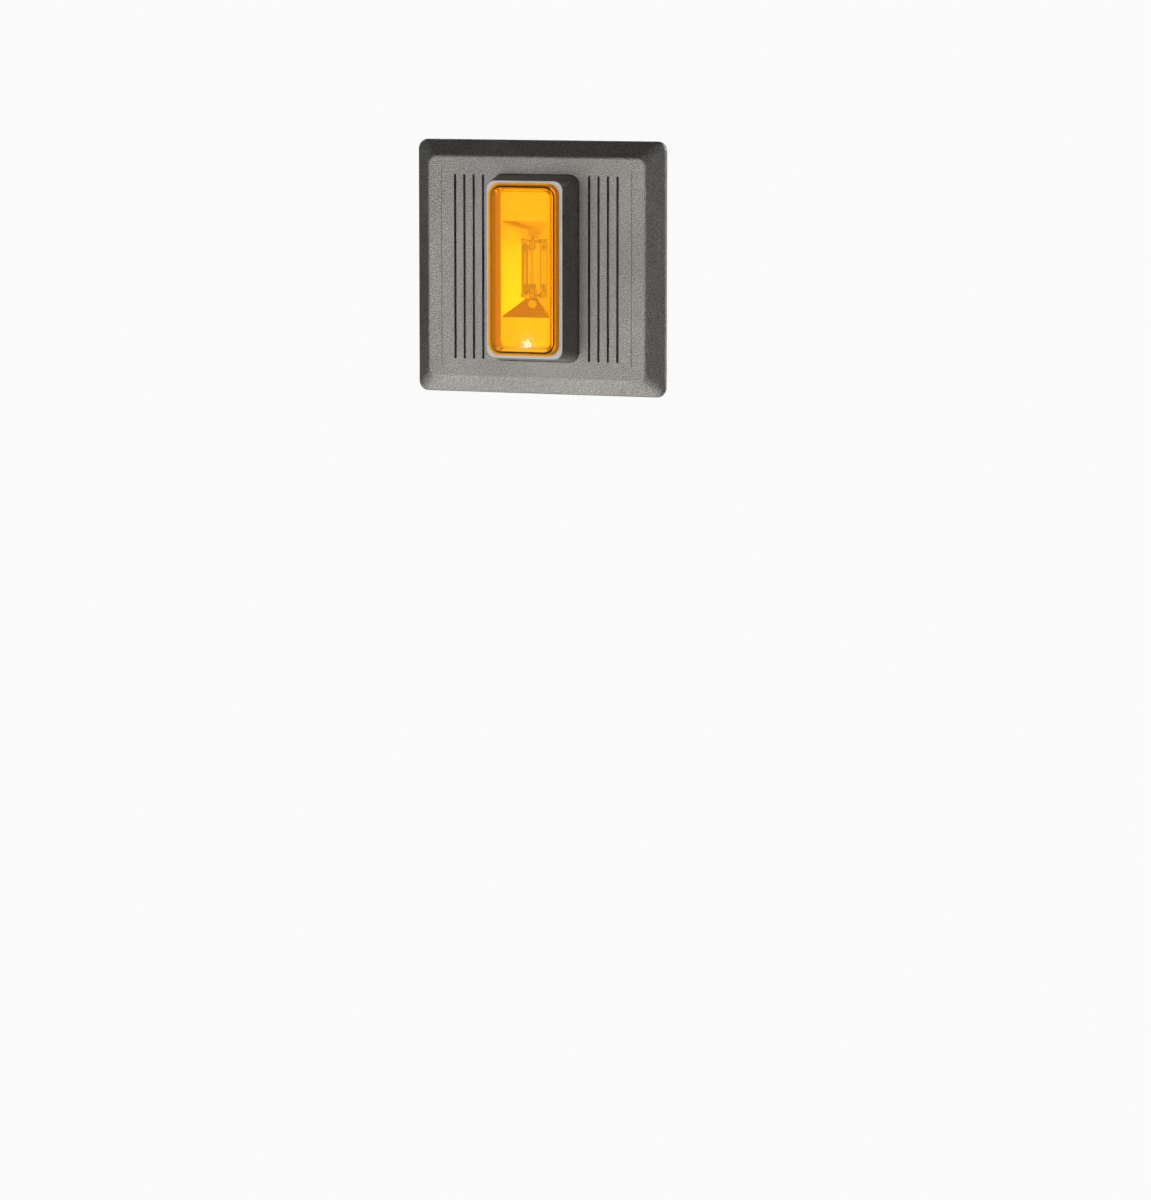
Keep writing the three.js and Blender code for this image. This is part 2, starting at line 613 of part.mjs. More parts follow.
function makeStrobeLead(side, pole) {
  const atGrommet = GROMMET.x + side;
  const atConnector = 12.2 + side * 1.4;
  return wire([
    [atConnector, 5.8, -29.7], [atConnector, 5.8, -33], [atGrommet, 4.6, -38.4], [atGrommet, 1.6, -41],
    [atGrommet, -2, -41], [atGrommet, -12, -41], [atGrommet - 0.4, -26, -40.2], [pole + 0.8, -37, -37.5],
    [pole + 0.2, -41.4, -32.5], [pole, LEAD_ENTRY_AHEAD, -28], [pole, LEAD_ENTRY_AHEAD, -25.2],
  ], LEAD_RADIUS, 44);
}

function makeTerminals() {
  const screws = POLES.map((x, i) => {
    const size = { x, z: TERMINAL.screwZ, seat: -44.4, head: 2.5, headThick: 2, shank: 1.2, length: 4.4, facing: -1 };
    return piece(`terminal_screw_${i + 1}`, screw(size), brass);
  });
  return group(
    piece("terminal_block", makeTerminalBlock(), blackPlastic),
    screws,
    piece("strobe_lead_red", makeStrobeLead(1, POLES[3]), redLead),
    piece("strobe_lead_black", makeStrobeLead(-1, POLES[2]), blackLead),
  );
}

// ---------------------------------------------------------------- the whole head

const signalHead = group(makeFront(), makeFrame(), makeHorn(), makeStrobe(), makeTerminals());
signalHead.name = "signal_head";

export default signalHead;
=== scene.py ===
# %% [markdown]
# # A wall-mounted signal head
#
# An amber flashing light stands in a raised bezel on a slotted grey faceplate, and a vibrating horn hangs behind the
# plate, inside the wall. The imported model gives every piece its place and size. This lesson gives each piece the
# shape and finish that a machinist or a painter would recognise, one piece at a time, from the front of the plate to
# the wires at the back.

# %% The fixed frame
import math

import bpy
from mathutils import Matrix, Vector


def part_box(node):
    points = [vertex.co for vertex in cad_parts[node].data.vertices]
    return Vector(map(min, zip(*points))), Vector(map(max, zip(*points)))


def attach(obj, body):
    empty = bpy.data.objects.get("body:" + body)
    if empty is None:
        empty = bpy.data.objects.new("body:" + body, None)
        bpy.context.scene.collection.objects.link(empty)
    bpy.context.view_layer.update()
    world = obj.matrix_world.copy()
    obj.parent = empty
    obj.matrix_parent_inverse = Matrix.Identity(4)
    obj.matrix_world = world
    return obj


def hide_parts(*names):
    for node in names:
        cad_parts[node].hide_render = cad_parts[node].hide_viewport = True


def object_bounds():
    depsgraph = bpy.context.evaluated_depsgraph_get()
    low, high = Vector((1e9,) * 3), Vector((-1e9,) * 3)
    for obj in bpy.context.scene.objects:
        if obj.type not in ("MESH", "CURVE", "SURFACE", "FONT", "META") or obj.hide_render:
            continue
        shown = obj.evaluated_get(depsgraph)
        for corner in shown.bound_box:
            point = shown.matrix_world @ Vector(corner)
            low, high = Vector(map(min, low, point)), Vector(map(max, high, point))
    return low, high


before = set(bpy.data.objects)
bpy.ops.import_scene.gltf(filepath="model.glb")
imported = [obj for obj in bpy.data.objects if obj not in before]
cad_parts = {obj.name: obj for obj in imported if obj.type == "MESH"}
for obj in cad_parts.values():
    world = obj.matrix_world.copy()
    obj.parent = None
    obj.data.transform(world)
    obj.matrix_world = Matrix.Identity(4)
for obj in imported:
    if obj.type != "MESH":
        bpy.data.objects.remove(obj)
cad_low, cad_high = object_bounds()
MM = 0.001
print("size in mm:", [round(side / MM, 1) for side in cad_high - cad_low])

# %% [markdown]
# ## Camera
#
# The head is seen from its right and a little from above, by a long lens far away, so that its edges stay almost
# parallel. It sits high in the picture, with open space where its cabinet would hang below. The frame is aimed at a
# point below the head and slightly to its right, so no lens shift is needed.

# %% The camera
turn_right = math.radians(22.0)
look_down = math.radians(6.89)
camera_distance = 2.609
towards_camera = Vector((
    math.sin(turn_right) * math.cos(look_down),
    -math.cos(turn_right) * math.cos(look_down),
    math.sin(look_down),
))
camera_data = bpy.data.cameras.new("camera")
camera_data.lens = 156.2
camera_data.sensor_width = 36.0
camera = bpy.data.objects.new("camera", camera_data)
bpy.context.scene.collection.objects.link(camera)
camera.rotation_euler = towards_camera.to_track_quat("Z", "Y").to_euler()
camera_right = camera.rotation_euler.to_matrix() @ Vector((1, 0, 0))
camera_up = camera.rotation_euler.to_matrix() @ Vector((0, 1, 0))
aim_right = 0.0164
aim_down = 0.1668
camera.location = towards_camera * camera_distance + camera_right * aim_right - camera_up * aim_down
bpy.context.scene.camera = camera
print("camera at", [round(part, 3) for part in camera.location])

# %% [markdown]
# ## Floor, sky and lamps
#
# The plate is lit by a wide soft lamp in front and by another from below, and its sides and top fall into shadow. A
# narrower lamp on the right reaches into the reflector behind the lens, and a tiny one stands just where the flat
# lens mirrors it to the camera, so that it leaves a small glint near the lower edge. Three lamps behind keep the horn
# readable from the back. The camera sees the floor and the sky as nearly white, but both give little light of their
# own, and the camera does not see the lamps. The colours are shown as they are, without a film curve.

# %% Floor and sky
bpy.context.scene.view_settings.view_transform = "Standard"
FLOOR_DROP = 0.95


def seen_and_lighting(tree, seen_shader, lighting_shader):
    """Mixes two shaders so that only the camera sees the first and everything else is lit by the second."""
    ray = tree.nodes.new("ShaderNodeLightPath")
    either = tree.nodes.new("ShaderNodeMixShader")
    tree.links.new(ray.outputs["Is Camera Ray"], either.inputs["Fac"])
    tree.links.new(lighting_shader.outputs[0], either.inputs[1])
    tree.links.new(seen_shader.outputs[0], either.inputs[2])
    return either.outputs["Shader"]


bpy.ops.object.select_all(action="DESELECT")
bpy.ops.mesh.primitive_plane_add(size=60, location=(0, 0, cad_low.z - FLOOR_DROP))
floor = bpy.context.object
floor.name = "floor"
floor_paint = bpy.data.materials.new("pale floor")
floor_paint.use_nodes = True
floor_tree = floor_paint.node_tree
floor_shader = floor_tree.nodes["Principled BSDF"]
floor_shader.inputs["Base Color"].default_value = (0.5, 0.5, 0.5, 1)
floor_shader.inputs["Roughness"].default_value = 0.9
floor_seen = floor_tree.nodes.new("ShaderNodeEmission")
floor_seen.inputs["Color"].default_value = (0.96, 0.96, 0.96, 1)
floor_tree.links.new(
    seen_and_lighting(floor_tree, floor_seen, floor_shader), floor_tree.nodes["Material Output"].inputs["Surface"]
)
floor.data.materials.append(floor_paint)

sky = bpy.data.worlds.new("studio sky")
sky.use_nodes = True
sky_tree = sky.node_tree
sky_tree.nodes.clear()
seen_sky = sky_tree.nodes.new("ShaderNodeBackground")
seen_sky.inputs["Color"].default_value = (0.96, 0.96, 0.96, 1)
lighting_sky = sky_tree.nodes.new("ShaderNodeBackground")
lighting_sky.inputs["Color"].default_value = (1, 1, 1, 1)
lighting_sky.inputs["Strength"].default_value = 0.04
sky_out = sky_tree.nodes.new("ShaderNodeOutputWorld")
sky_tree.links.new(seen_and_lighting(sky_tree, seen_sky, lighting_sky), sky_out.inputs["Surface"])
bpy.context.scene.world = sky


# %% Lamps
def add_lamp(name, place, size, power):
    """A square soft lamp that faces the head and that the camera does not see."""
    data = bpy.data.lights.new(name, "AREA")
    data.size = size
    data.energy = power
    lamp = bpy.data.objects.new(name, data)
    bpy.context.scene.collection.objects.link(lamp)
    lamp.location = place
    lamp.rotation_euler = Vector(place).to_track_quat("Z", "Y").to_euler()
    lamp.visible_camera = False
    return lamp


add_lamp("front lamp", (-0.52, -1.82, -0.30), 1.7, 14)
add_lamp("under lamp", (-0.25, -0.30, -0.80), 0.7, 2.4)
add_lamp("right lamp", (1.22, -0.86, -0.18), 0.25, 0.68)
add_lamp("back lamp left", (-1.0, 1.2, 0.5), 0.8, 8)
add_lamp("back lamp right", (1.2, 1.0, 0.7), 0.8, 11)
add_lamp("back lamp low", (0.2, 1.4, -0.4), 0.6, 4)
glint_spot = Vector((4.0, -29.0, -36.9)) * MM
to_camera = (camera.location - glint_spot).normalized()
mirrored = Vector((-to_camera.x, to_camera.y, -to_camera.z))
glint = add_lamp("glint lamp", glint_spot + mirrored * 1.2, 0.009, 0.009)
glint.data.shape = "ELLIPSE"
glint.data.size_y = 0.004

# %% [markdown]
# ## Working at the bench
#
# Every piece is made with the same few moves: pick faces or edges by where they are, extrude, resize, bevel, cut one
# shape with another, and round what is left. The helpers below hold those moves and take millimetres. A piece that
# needs only crisp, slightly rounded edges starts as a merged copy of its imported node.


# %% Picking faces and edges
def metres(point):
    """A point in millimetres as a vector in metres."""
    return Vector([part * MM for part in point])


def box_of(node):
    """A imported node's lowest and highest corners, in millimetres."""
    return [Vector(corner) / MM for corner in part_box(node)]


def choose(piece):
    """Makes one object the only selected and active one."""
    bpy.ops.object.select_all(action="DESELECT")
    piece.select_set(True)
    bpy.context.view_layer.objects.active = piece
    return piece


def enter(piece, kind, action):
    """Enters edit mode with everything or nothing selected."""
    choose(piece)
    bpy.ops.object.mode_set(mode="EDIT")
    bpy.ops.mesh.select_mode(type=kind)
    bpy.ops.mesh.select_all(action=action)


def leave():
    bpy.ops.object.mode_set(mode="OBJECT")


def pick(piece, kind, test):
    """Enters edit mode with only the faces or edges selected whose centre and direction pass the test."""
    enter(piece, kind, "DESELECT")
    leave()
    mesh = piece.data
    if kind == "FACE":
        for face in mesh.polygons:
            face.select = test(face.center / MM, face.normal)
    else:
        for edge in mesh.edges:
            a, b = (mesh.vertices[i].co for i in edge.vertices)
            edge.select = test((a + b) / 2 / MM, (b - a).normalized())
    bpy.ops.object.mode_set(mode="EDIT")


# %% Starting shapes
def settle(piece):
    """Puts the object's place into its mesh, so that the object itself is at the origin."""
    choose(piece)
    bpy.ops.object.transform_apply(location=True, rotation=True, scale=True)
    return piece


def add_block(name, low, high):
    """A box between two corners."""
    bpy.ops.object.select_all(action="DESELECT")
    low, high = metres(low), metres(high)
    bpy.ops.mesh.primitive_cube_add(size=1, location=(low + high) / 2)
    block = bpy.context.object
    block.name = name
    block.scale = high - low
    return settle(block)


def add_rod(name, start, end, radius, sides=32, tip_radius=None):
    """A cylinder or a cone from one point to another."""
    bpy.ops.object.select_all(action="DESELECT")
    start, end = metres(start), metres(end)
    along = end - start
    tip = radius if tip_radius is None else tip_radius
    bpy.ops.mesh.primitive_cone_add(
        vertices=sides, radius1=radius * MM, radius2=tip * MM, depth=along.length, location=(start + end) / 2
    )
    rod = bpy.context.object
    rod.name = name
    rod.rotation_mode = "QUATERNION"
    rod.rotation_quaternion = along.to_track_quat("Z", "Y")
    return settle(rod)


def side_edges(mid, along):
    return abs(along.y) > 0.2


def front_faces(depth):
    return lambda centre, normal: centre.y < depth + 0.05 and normal.y < -0.9


def back_faces(centre, normal):
    return normal.y > 0.9


def bevel_picked(piece, test, width, steps):
    """Bevels the edges that pass the test."""
    pick(piece, "EDGE", test)
    bpy.ops.mesh.bevel(offset=width * MM, segments=steps, affect="EDGES")
    leave()
    return piece


def draw_in(piece, test, shift, narrow_x, narrow_z):
    """Extrudes the faces that pass the test along Y and narrows them about the middle line."""
    pick(piece, "FACE", test)
    bpy.ops.mesh.extrude_region_move(TRANSFORM_OT_translate={"value": (0, shift * MM, 0)})
    bpy.ops.transform.resize(value=(narrow_x, 1, narrow_z), center_override=(0, 0, 0))
    leave()


def round_block(name, low, high, radius, steps=6):
    """A block whose four edges along the depth are rounded."""
    return bevel_picked(add_block(name, low, high), side_edges, radius, steps)


# %% Cutting, joining and rounding
def apply_modifier(piece, kind, **settings):
    choose(piece)
    modifier = piece.modifiers.new(kind.lower(), kind)
    for key, value in settings.items():
        setattr(modifier, key, value)
    bpy.ops.object.modifier_apply(modifier=modifier.name)
    return piece


def cut(piece, *tools):
    for tool in tools:
        apply_modifier(piece, "BOOLEAN", operation="DIFFERENCE", solver="EXACT", object=tool)
        bpy.data.objects.remove(tool)
    return piece


def fuse(piece, *others):
    for other in others:
        apply_modifier(piece, "BOOLEAN", operation="UNION", solver="EXACT", object=other)
        bpy.data.objects.remove(other)
    return piece


def gather(piece, *others):
    """Joins pieces into one object without changing their shapes."""
    choose(piece)
    for other in others:
        other.select_set(True)
    bpy.ops.object.join()
    return piece


def round_edges(piece, width, steps=2, angle=30):
    apply_modifier(
        piece, "BEVEL", width=width * MM, segments=steps, limit_method="ANGLE", angle_limit=math.radians(angle),
        harden_normals=False, miter_outer="MITER_ARC",
    )
    return smooth(piece)


def smooth(piece, angle=35):
    choose(piece)
    bpy.ops.object.shade_smooth_by_angle(angle=math.radians(angle))
    return piece


def merged_copy(node):
    """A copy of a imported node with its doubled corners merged."""
    copy = bpy.data.objects.new(f"copy of {node}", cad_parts[node].data.copy())
    copy.data.materials.clear()
    bpy.context.scene.collection.objects.link(copy)
    enter(copy, "VERT", "SELECT")
    bpy.ops.mesh.remove_doubles(threshold=2e-6)
    leave()
    return copy


def tidy_copy(node, width=0.0, steps=2):
    """A merged copy with its flat faces whole again and its edges rounded."""
    copy = merged_copy(node)
    enter(copy, "VERT", "SELECT")
    bpy.ops.mesh.dissolve_limited(angle_limit=math.radians(1.0))
    leave()
    if width:
        round_edges(copy, width, steps)
    return smooth(copy)


# %% Finishing a piece
def coated(piece, finish):
    piece.data.materials.append(finish.material)
    return piece


def second_coat(piece, finish, test):
    """Gives another finish to the faces whose centre and normal pass the test."""
    coated(piece, finish)
    for face in piece.data.polygons:
        if test(face.center / MM, face.normal):
            face.material_index = 1
    print(f"  with {finish.material.name} on {sum(face.material_index for face in piece.data.polygons)} of them")


def finish_piece(piece, name, body, finish, slot, *nodes):
    """Names a piece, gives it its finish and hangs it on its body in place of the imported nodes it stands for."""
    piece.name = name
    apply_modifier(piece, "WEIGHTED_NORMAL", keep_sharp=True)
    piece.data.materials.clear()
    coated(piece, finish)
    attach(piece, body)
    if nodes:
        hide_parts(*nodes)
    print(f"{name}: {len(piece.data.polygons)} faces")
    return piece


def packed_piece(node, ending, body, finish, slot, width=0.0, steps=2):
    """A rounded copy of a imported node, finished under its name and an ending."""
    return finish_piece(tidy_copy(node, width, steps), f"{node}_{ending}", body, finish, slot, node)


# %% [markdown]
# ## Finishes
#
# A finish is a Principled shader whose colour, roughness and bump come from a few noise patterns on Object
# coordinates. Every piece keeps its place in its mesh, so those coordinates are metres and a pattern's scale says how
# many grains lie in a metre. The helper starts a finish, and one cell for each family sets what makes it look right.


# %% Starting a finish
class Finish:
    """A material and the nodes that a recipe adds to it."""

    def __init__(self, name, color, roughness, metallic=0.0):
        self.material = bpy.data.materials.new(name)
        self.material.use_nodes = True
        self.nodes = self.material.node_tree.nodes
        self.links = self.material.node_tree.links
        self.shader = self.nodes["Principled BSDF"]
        self.set({"Base Color": (*color, 1), "Roughness": roughness, "Metallic": metallic})
        self.place = self.nodes.new("ShaderNodeTexCoord").outputs["Object"]

    def set(self, values):
        """Sets values that are the same all over the surface."""
        for socket, value in values.items():
            self.shader.inputs[socket].default_value = value

    def add(self, kind, values):
        """A node of one kind with the values of its sockets."""
        node = self.nodes.new(kind)
        for socket, value in values.items():
            node.inputs[socket].default_value = value
        return node

    def noise(self, scale, detail=3.0, roughness=0.6, stretch=None):
        """A noise pattern, drawn out along one axis when stretch gives a factor for each."""
        node = self.add("ShaderNodeTexNoise", {"Scale": scale, "Detail": detail, "Roughness": roughness})
        source = self.place
        if stretch:
            mapping = self.add("ShaderNodeMapping", {"Scale": stretch})
            self.links.new(self.place, mapping.inputs["Vector"])
            source = mapping.outputs["Vector"]
        self.links.new(source, node.inputs["Vector"])
        return node.outputs["Fac"]

    def cells(self, scale):
        """Random grey cells, as of a crystal pattern."""
        node = self.add("ShaderNodeTexVoronoi", {"Scale": scale})
        self.links.new(self.place, node.inputs["Vector"])
        return node.outputs["Color"]

    def ramp(self, source, *stops):
        """A colour ramp through (position, colour) stops."""
        node = self.nodes.new("ShaderNodeValToRGB")
        marks = node.color_ramp.elements
        for mark, (position, color) in zip((marks[0], marks[-1]), (stops[0], stops[-1])):
            mark.position = position
            mark.color = (*color, 1)
        for position, color in stops[1:-1]:
            marks.new(position).color = (*color, 1)
        self.links.new(source, node.inputs["Fac"])
        return node.outputs["Color"]

    def span(self, source, low, high, start=0.3, end=0.7):
        """A pattern's values moved to between low and high."""
        node = self.add("ShaderNodeMapRange", {"From Min": start, "From Max": end, "To Min": low, "To Max": high})
        self.links.new(source, node.inputs["Value"])
        return node.outputs["Result"]

    def color(self, source):
        self.links.new(source, self.shader.inputs["Base Color"])
        return self

    def roughness(self, source):
        self.links.new(source, self.shader.inputs["Roughness"])
        return self

    def bump(self, *layers, edge=0.0):
        """Raises the surface by (pattern, height in metres) layers, over edges rounded by the given radius."""
        normal = None
        if edge:
            node = self.add("ShaderNodeBevel", {"Radius": edge})
            node.samples = 4
            normal = node.outputs["Normal"]
        for pattern, height in layers:
            node = self.add("ShaderNodeBump", {"Strength": 1.0, "Distance": height})
            self.links.new(pattern, node.inputs["Height"])
            if normal:
                self.links.new(normal, node.inputs["Normal"])
            normal = node.outputs["Normal"]
        self.links.new(normal, self.shader.inputs["Normal"])
        return self


# %% Textured paint and rim enamel
def grey_mix(level, warmth=1.0):
    """A grey of the given linear level, slightly warm above 1 and cool below."""
    return (level * warmth, level, level / warmth)


texture_coat = Finish("textured grey coat", grey_mix(0.43, 1.06), 0.44, 0.92)
coat_grain = texture_coat.noise(1300, 2)
coat_speck = texture_coat.noise(1900, 3)
coat_drift = texture_coat.noise(28, 3)
texture_coat.color(texture_coat.ramp(
    coat_speck, (0.34, grey_mix(0.24, 1.07)), (0.5, grey_mix(0.42, 1.06)), (0.66, grey_mix(0.66, 1.05)),
))
texture_coat.roughness(texture_coat.span(coat_drift, 0.44, 0.54))
texture_coat.bump((coat_drift, 0.0001), (coat_grain, 0.00034), edge=0.0003)

rim_enamel = Finish("rim enamel", grey_mix(0.6, 0.96), 0.42, 0.6)
enamel_grain = rim_enamel.noise(2400, 3)
enamel_drift = rim_enamel.noise(60, 2)
rim_enamel.color(rim_enamel.ramp(enamel_drift, (0.3, grey_mix(0.56, 0.955)), (0.7, grey_mix(0.66, 0.96))))
rim_enamel.roughness(rim_enamel.span(enamel_grain, 0.36, 0.5))
rim_enamel.bump((enamel_grain, 0.00004), edge=0.0002)

# %% [markdown]
# ### Amber plastic
#
# The lens is clear amber with smooth faces. Light from the lamps has to reach the reflector behind it, and a thick
# clear shape would throw a dark shadow there, so the lens casts none. The colour comes from a deep yellow-orange
# tint, with a very low glow in place of the light that bounces about inside the plastic.

# %% Amber
amber = Finish("amber plastic", (1.0, 0.62, 0.004), 0.03)
amber.set({"Transmission Weight": 0.9, "IOR": 1.22, "Specular IOR Level": 0.12})
amber.set({"Emission Color": (1.0, 0.32, 0.004, 1), "Emission Strength": 0.1})
amber_flow = amber.noise(45, 2, 0.5, (1, 1, 0.4))
amber.bump((amber_flow, 0.00005))

# %% [markdown]
# ### Metals
#
# Zinc plating has a faint crystal spangle and fine scratches, spring steel is greyer with the lines of its rolling,
# and turned brass has soft stains. The mirror coat of the reflector is bright with a trace of haze.


# %% Metals
zinc = Finish("zinc plate", (0.54, 0.55, 0.54), 0.35, 1.0)
zinc_cells = zinc.cells(520)
zinc_scratch = zinc.noise(900, 4, 0.7, (1, 1, 0.08))
zinc_cloud = zinc.noise(60, 2)
zinc.color(zinc.ramp(zinc_cells, (0.0, (0.49, 0.50, 0.50)), (0.5, (0.54, 0.55, 0.55)), (1.0, (0.60, 0.60, 0.59))))
zinc.roughness(zinc.span(zinc_cloud, 0.36, 0.44))
zinc.bump((zinc_scratch, 0.00001), edge=0.00015)

spring = Finish("spring steel", (0.36, 0.37, 0.38), 0.3, 1.0)
spring_lines = spring.noise(1200, 3, 0.6, (0.05, 1, 1))
spring_tone = spring.noise(110, 2)
spring.color(spring.ramp(spring_tone, (0.3, (0.30, 0.31, 0.33)), (0.7, (0.45, 0.45, 0.45))))
spring.roughness(spring.span(spring_lines, 0.22, 0.4))
spring.bump((spring_lines, 0.000008), edge=0.0001)

brass = Finish("turned brass", (0.66, 0.44, 0.15), 0.28, 1.0)
brass_stain = brass.noise(240, 4)
brass_lines = brass.noise(3000, 2)
brass.color(brass.ramp(brass_stain, (0.3, (0.42, 0.25, 0.07)), (0.55, (0.64, 0.43, 0.15)), (0.8, (0.76, 0.55, 0.22))))
brass.roughness(brass.span(brass_stain, 0.42, 0.22))
brass.bump((brass_lines, 0.000008), edge=0.00012)

copper = Finish("enamelled copper wire", (0.55, 0.19, 0.06), 0.3, 1.0)
copper_tone = copper.noise(500, 3)
copper.color(copper.ramp(copper_tone, (0.3, (0.40, 0.12, 0.035)), (0.7, (0.66, 0.26, 0.09))))
copper.set({"Coat Weight": 0.6})
copper.roughness(copper.span(copper_tone, 0.25, 0.4))

mirror = Finish("mirror coat", (0.92, 0.92, 0.90), 0.18, 0.85)
mirror_haze = mirror.noise(130, 3)
mirror_pits = mirror.noise(1700, 2)
mirror.color(mirror.ramp(mirror_haze, (0.3, (0.84, 0.84, 0.83)), (0.7, (0.95, 0.95, 0.94))))
mirror.roughness(mirror.span(mirror_haze, 0.07, 0.11))
mirror.bump((mirror_pits, 0.000006), edge=0.00015)

# %% [markdown]
# ### Mouldings, rubber and board
#
# Plastics differ by how deep their colour is and by the grain of the mould. Rubber is dull with a dusty bloom, the
# circuit board shows its glass weave under a green varnish, and brown laminate shows paper fibres.


# %% Mouldings and rubber
def moulding(name, dark, light, low_gloss, high_gloss, grain=1400, height=0.00002):
    """A moulded plastic between two colours, with a fine mould grain."""
    made = Finish(name, dark, low_gloss)
    mottle = made.noise(90, 3)
    skin = made.noise(grain, 3)
    made.color(made.ramp(mottle, (0.3, dark), (0.7, light)))
    made.roughness(made.span(skin, low_gloss, high_gloss))
    made.bump((skin, height), edge=0.0002)
    return made


black_plastic = moulding("black moulding", (0.014, 0.015, 0.016), (0.028, 0.029, 0.031), 0.42, 0.6, 1100, 0.00004)
rubber = moulding("black rubber", (0.010, 0.010, 0.010), (0.026, 0.025, 0.024), 0.7, 0.9, 2200, 0.00003)
ivory = moulding("ivory nylon", (0.66, 0.62, 0.50), (0.76, 0.73, 0.63), 0.38, 0.55)
sleeve = moulding("dark sleeve", (0.012, 0.016, 0.030), (0.020, 0.026, 0.046), 0.22, 0.34, 600, 0.00001)
laminate = moulding("brown laminate", (0.10, 0.034, 0.012), (0.17, 0.062, 0.024), 0.4, 0.6, 900, 0.00002)
red_insulation = moulding("red insulation", (0.42, 0.014, 0.012), (0.52, 0.024, 0.018), 0.34, 0.46)
black_insulation = moulding("black insulation", (0.012, 0.012, 0.013), (0.022, 0.022, 0.024), 0.34, 0.46)

board_green = Finish("board varnish", (0.02, 0.12, 0.045), 0.3)
board_weave = board_green.noise(1500, 2, 0.5, (1, 1, 0.25))
board_tone = board_green.noise(55, 2)
board_green.color(board_green.ramp(board_tone, (0.3, (0.014, 0.095, 0.032)), (0.7, (0.026, 0.15, 0.06))))
board_green.roughness(board_green.span(board_weave, 0.24, 0.4))
board_green.bump((board_weave, 0.00002), edge=0.00015)

# %% [markdown]
# ### Clear glass
#
# The flash tube is thin clear glass. Its tint is almost nothing, so its bright edge lines and the electrodes inside
# are what tells the eye that it is there.

# %% Glass
clear_glass = Finish("clear glass", (0.97, 0.99, 0.99), 0.02)
clear_glass.set({"Transmission Weight": 1.0, "IOR": 1.47})
glass_cords = clear_glass.noise(180, 2, 0.5, (1, 1, 0.2))
clear_glass.bump((glass_cords, 0.00001))
print("finishes:", len(bpy.data.materials))

# %% [markdown]
# ## Faceplate
#
# The real plate is one casting: a flat front, a sloping border and a short upright edge, about two millimetres thick
# all round. A block is drawn in towards the front for the border, its corners and folds are rounded as a casting's
# are, and the back is taken away so that the wall can be given its thickness. The window, the slots and two fine
# score lines are then cut through or into the front.

# %% Faceplate shell
plate_low, plate_high = box_of("faceplate")
front_y = plate_low.y
EDGE_DEPTH = 2.5
BORDER = 8.2
WALL = 2.2
CORNER = 4.4
half_x, half_z = plate_high.x, plate_high.z

faceplate = add_block("faceplate", (-half_x, -EDGE_DEPTH, -half_z), (half_x, 0, half_z))
draw_in(faceplate, front_faces(-EDGE_DEPTH), front_y + EDGE_DEPTH, 1 - BORDER / half_x, 1 - BORDER / half_z)
bevel_picked(faceplate, side_edges, CORNER, 7)
pick(faceplate, "FACE", back_faces)
bpy.ops.mesh.delete(type="FACE")
leave()
round_edges(faceplate, 0.9, 4, 20)
apply_modifier(faceplate, "SOLIDIFY", thickness=WALL * MM, offset=-1, use_even_offset=True)
low, high = Vector(faceplate.bound_box[0]), Vector(faceplate.bound_box[6])
print("faceplate shell:", [round(side / MM, 1) for side in high - low])

# %% [markdown]
# ### Window, slots and score lines
#
# A slot has round ends, so each cutter is a thin block with its four long corners rounded. The window has the
# outline of the bezel with an even gap of a third of a millimetre round it.

# %% Cutting the faceplate
SLOT_FIRST = 28.6
SLOT_PITCH = 5.07
SLOT_COUNT = 4
SLOT_HALF_HEIGHT = 46.3
SLOT_WIDTH = 1.2
SCORE_X = 51.3
SCORE_HALF_HEIGHT = 49.2
SCORE_WIDTH = 0.3
SCORE_DEPTH = 0.12
GAP = 0.3
BEZEL_HALF_X = 23.0
BEZEL_HALF_Z = 46.5
BEZEL_CORNER = 5.0

cutters = [round_block(
    "window", (-BEZEL_HALF_X - GAP, front_y - 2, -BEZEL_HALF_Z - GAP),
    (BEZEL_HALF_X + GAP, front_y + 2 * WALL, BEZEL_HALF_Z + GAP), BEZEL_CORNER + GAP, 8,
)]
for side in (1, -1):
    for i in range(SLOT_COUNT):
        x = side * (SLOT_FIRST + i * SLOT_PITCH)
        cutters.append(round_block(
            "slot", (x - SLOT_WIDTH / 2, front_y - 2, -SLOT_HALF_HEIGHT),
            (x + SLOT_WIDTH / 2, front_y + 2 * WALL, SLOT_HALF_HEIGHT), SLOT_WIDTH * 0.49, 4,
        ))
    x = side * SCORE_X
    cutters.append(add_block(
        "score", (x - SCORE_WIDTH / 2, front_y - 2, -SCORE_HALF_HEIGHT),
        (x + SCORE_WIDTH / 2, front_y + SCORE_DEPTH, SCORE_HALF_HEIGHT),
    ))
cut(faceplate, *cutters)
print("cut", len(cutters), "openings")

# %% [markdown]
# ### Studs and posts behind the plate
#
# Four studs push into the spring clips, and four hollow posts take the bezel's screws. They are cast with the plate,
# so they sink a little into it and become part of its object, with a small cone at each stud's foot.

# %% Studs and posts
STUD_X, STUD_Z = 51.5, 40.0
POST_X, POST_Z = 14.0, 49.4
inner_y = front_y + WALL


def corners(x, z):
    """The four places of a thing that is set out evenly about the middle."""
    return [(x, z), (-x, z), (-x, -z), (x, -z)]


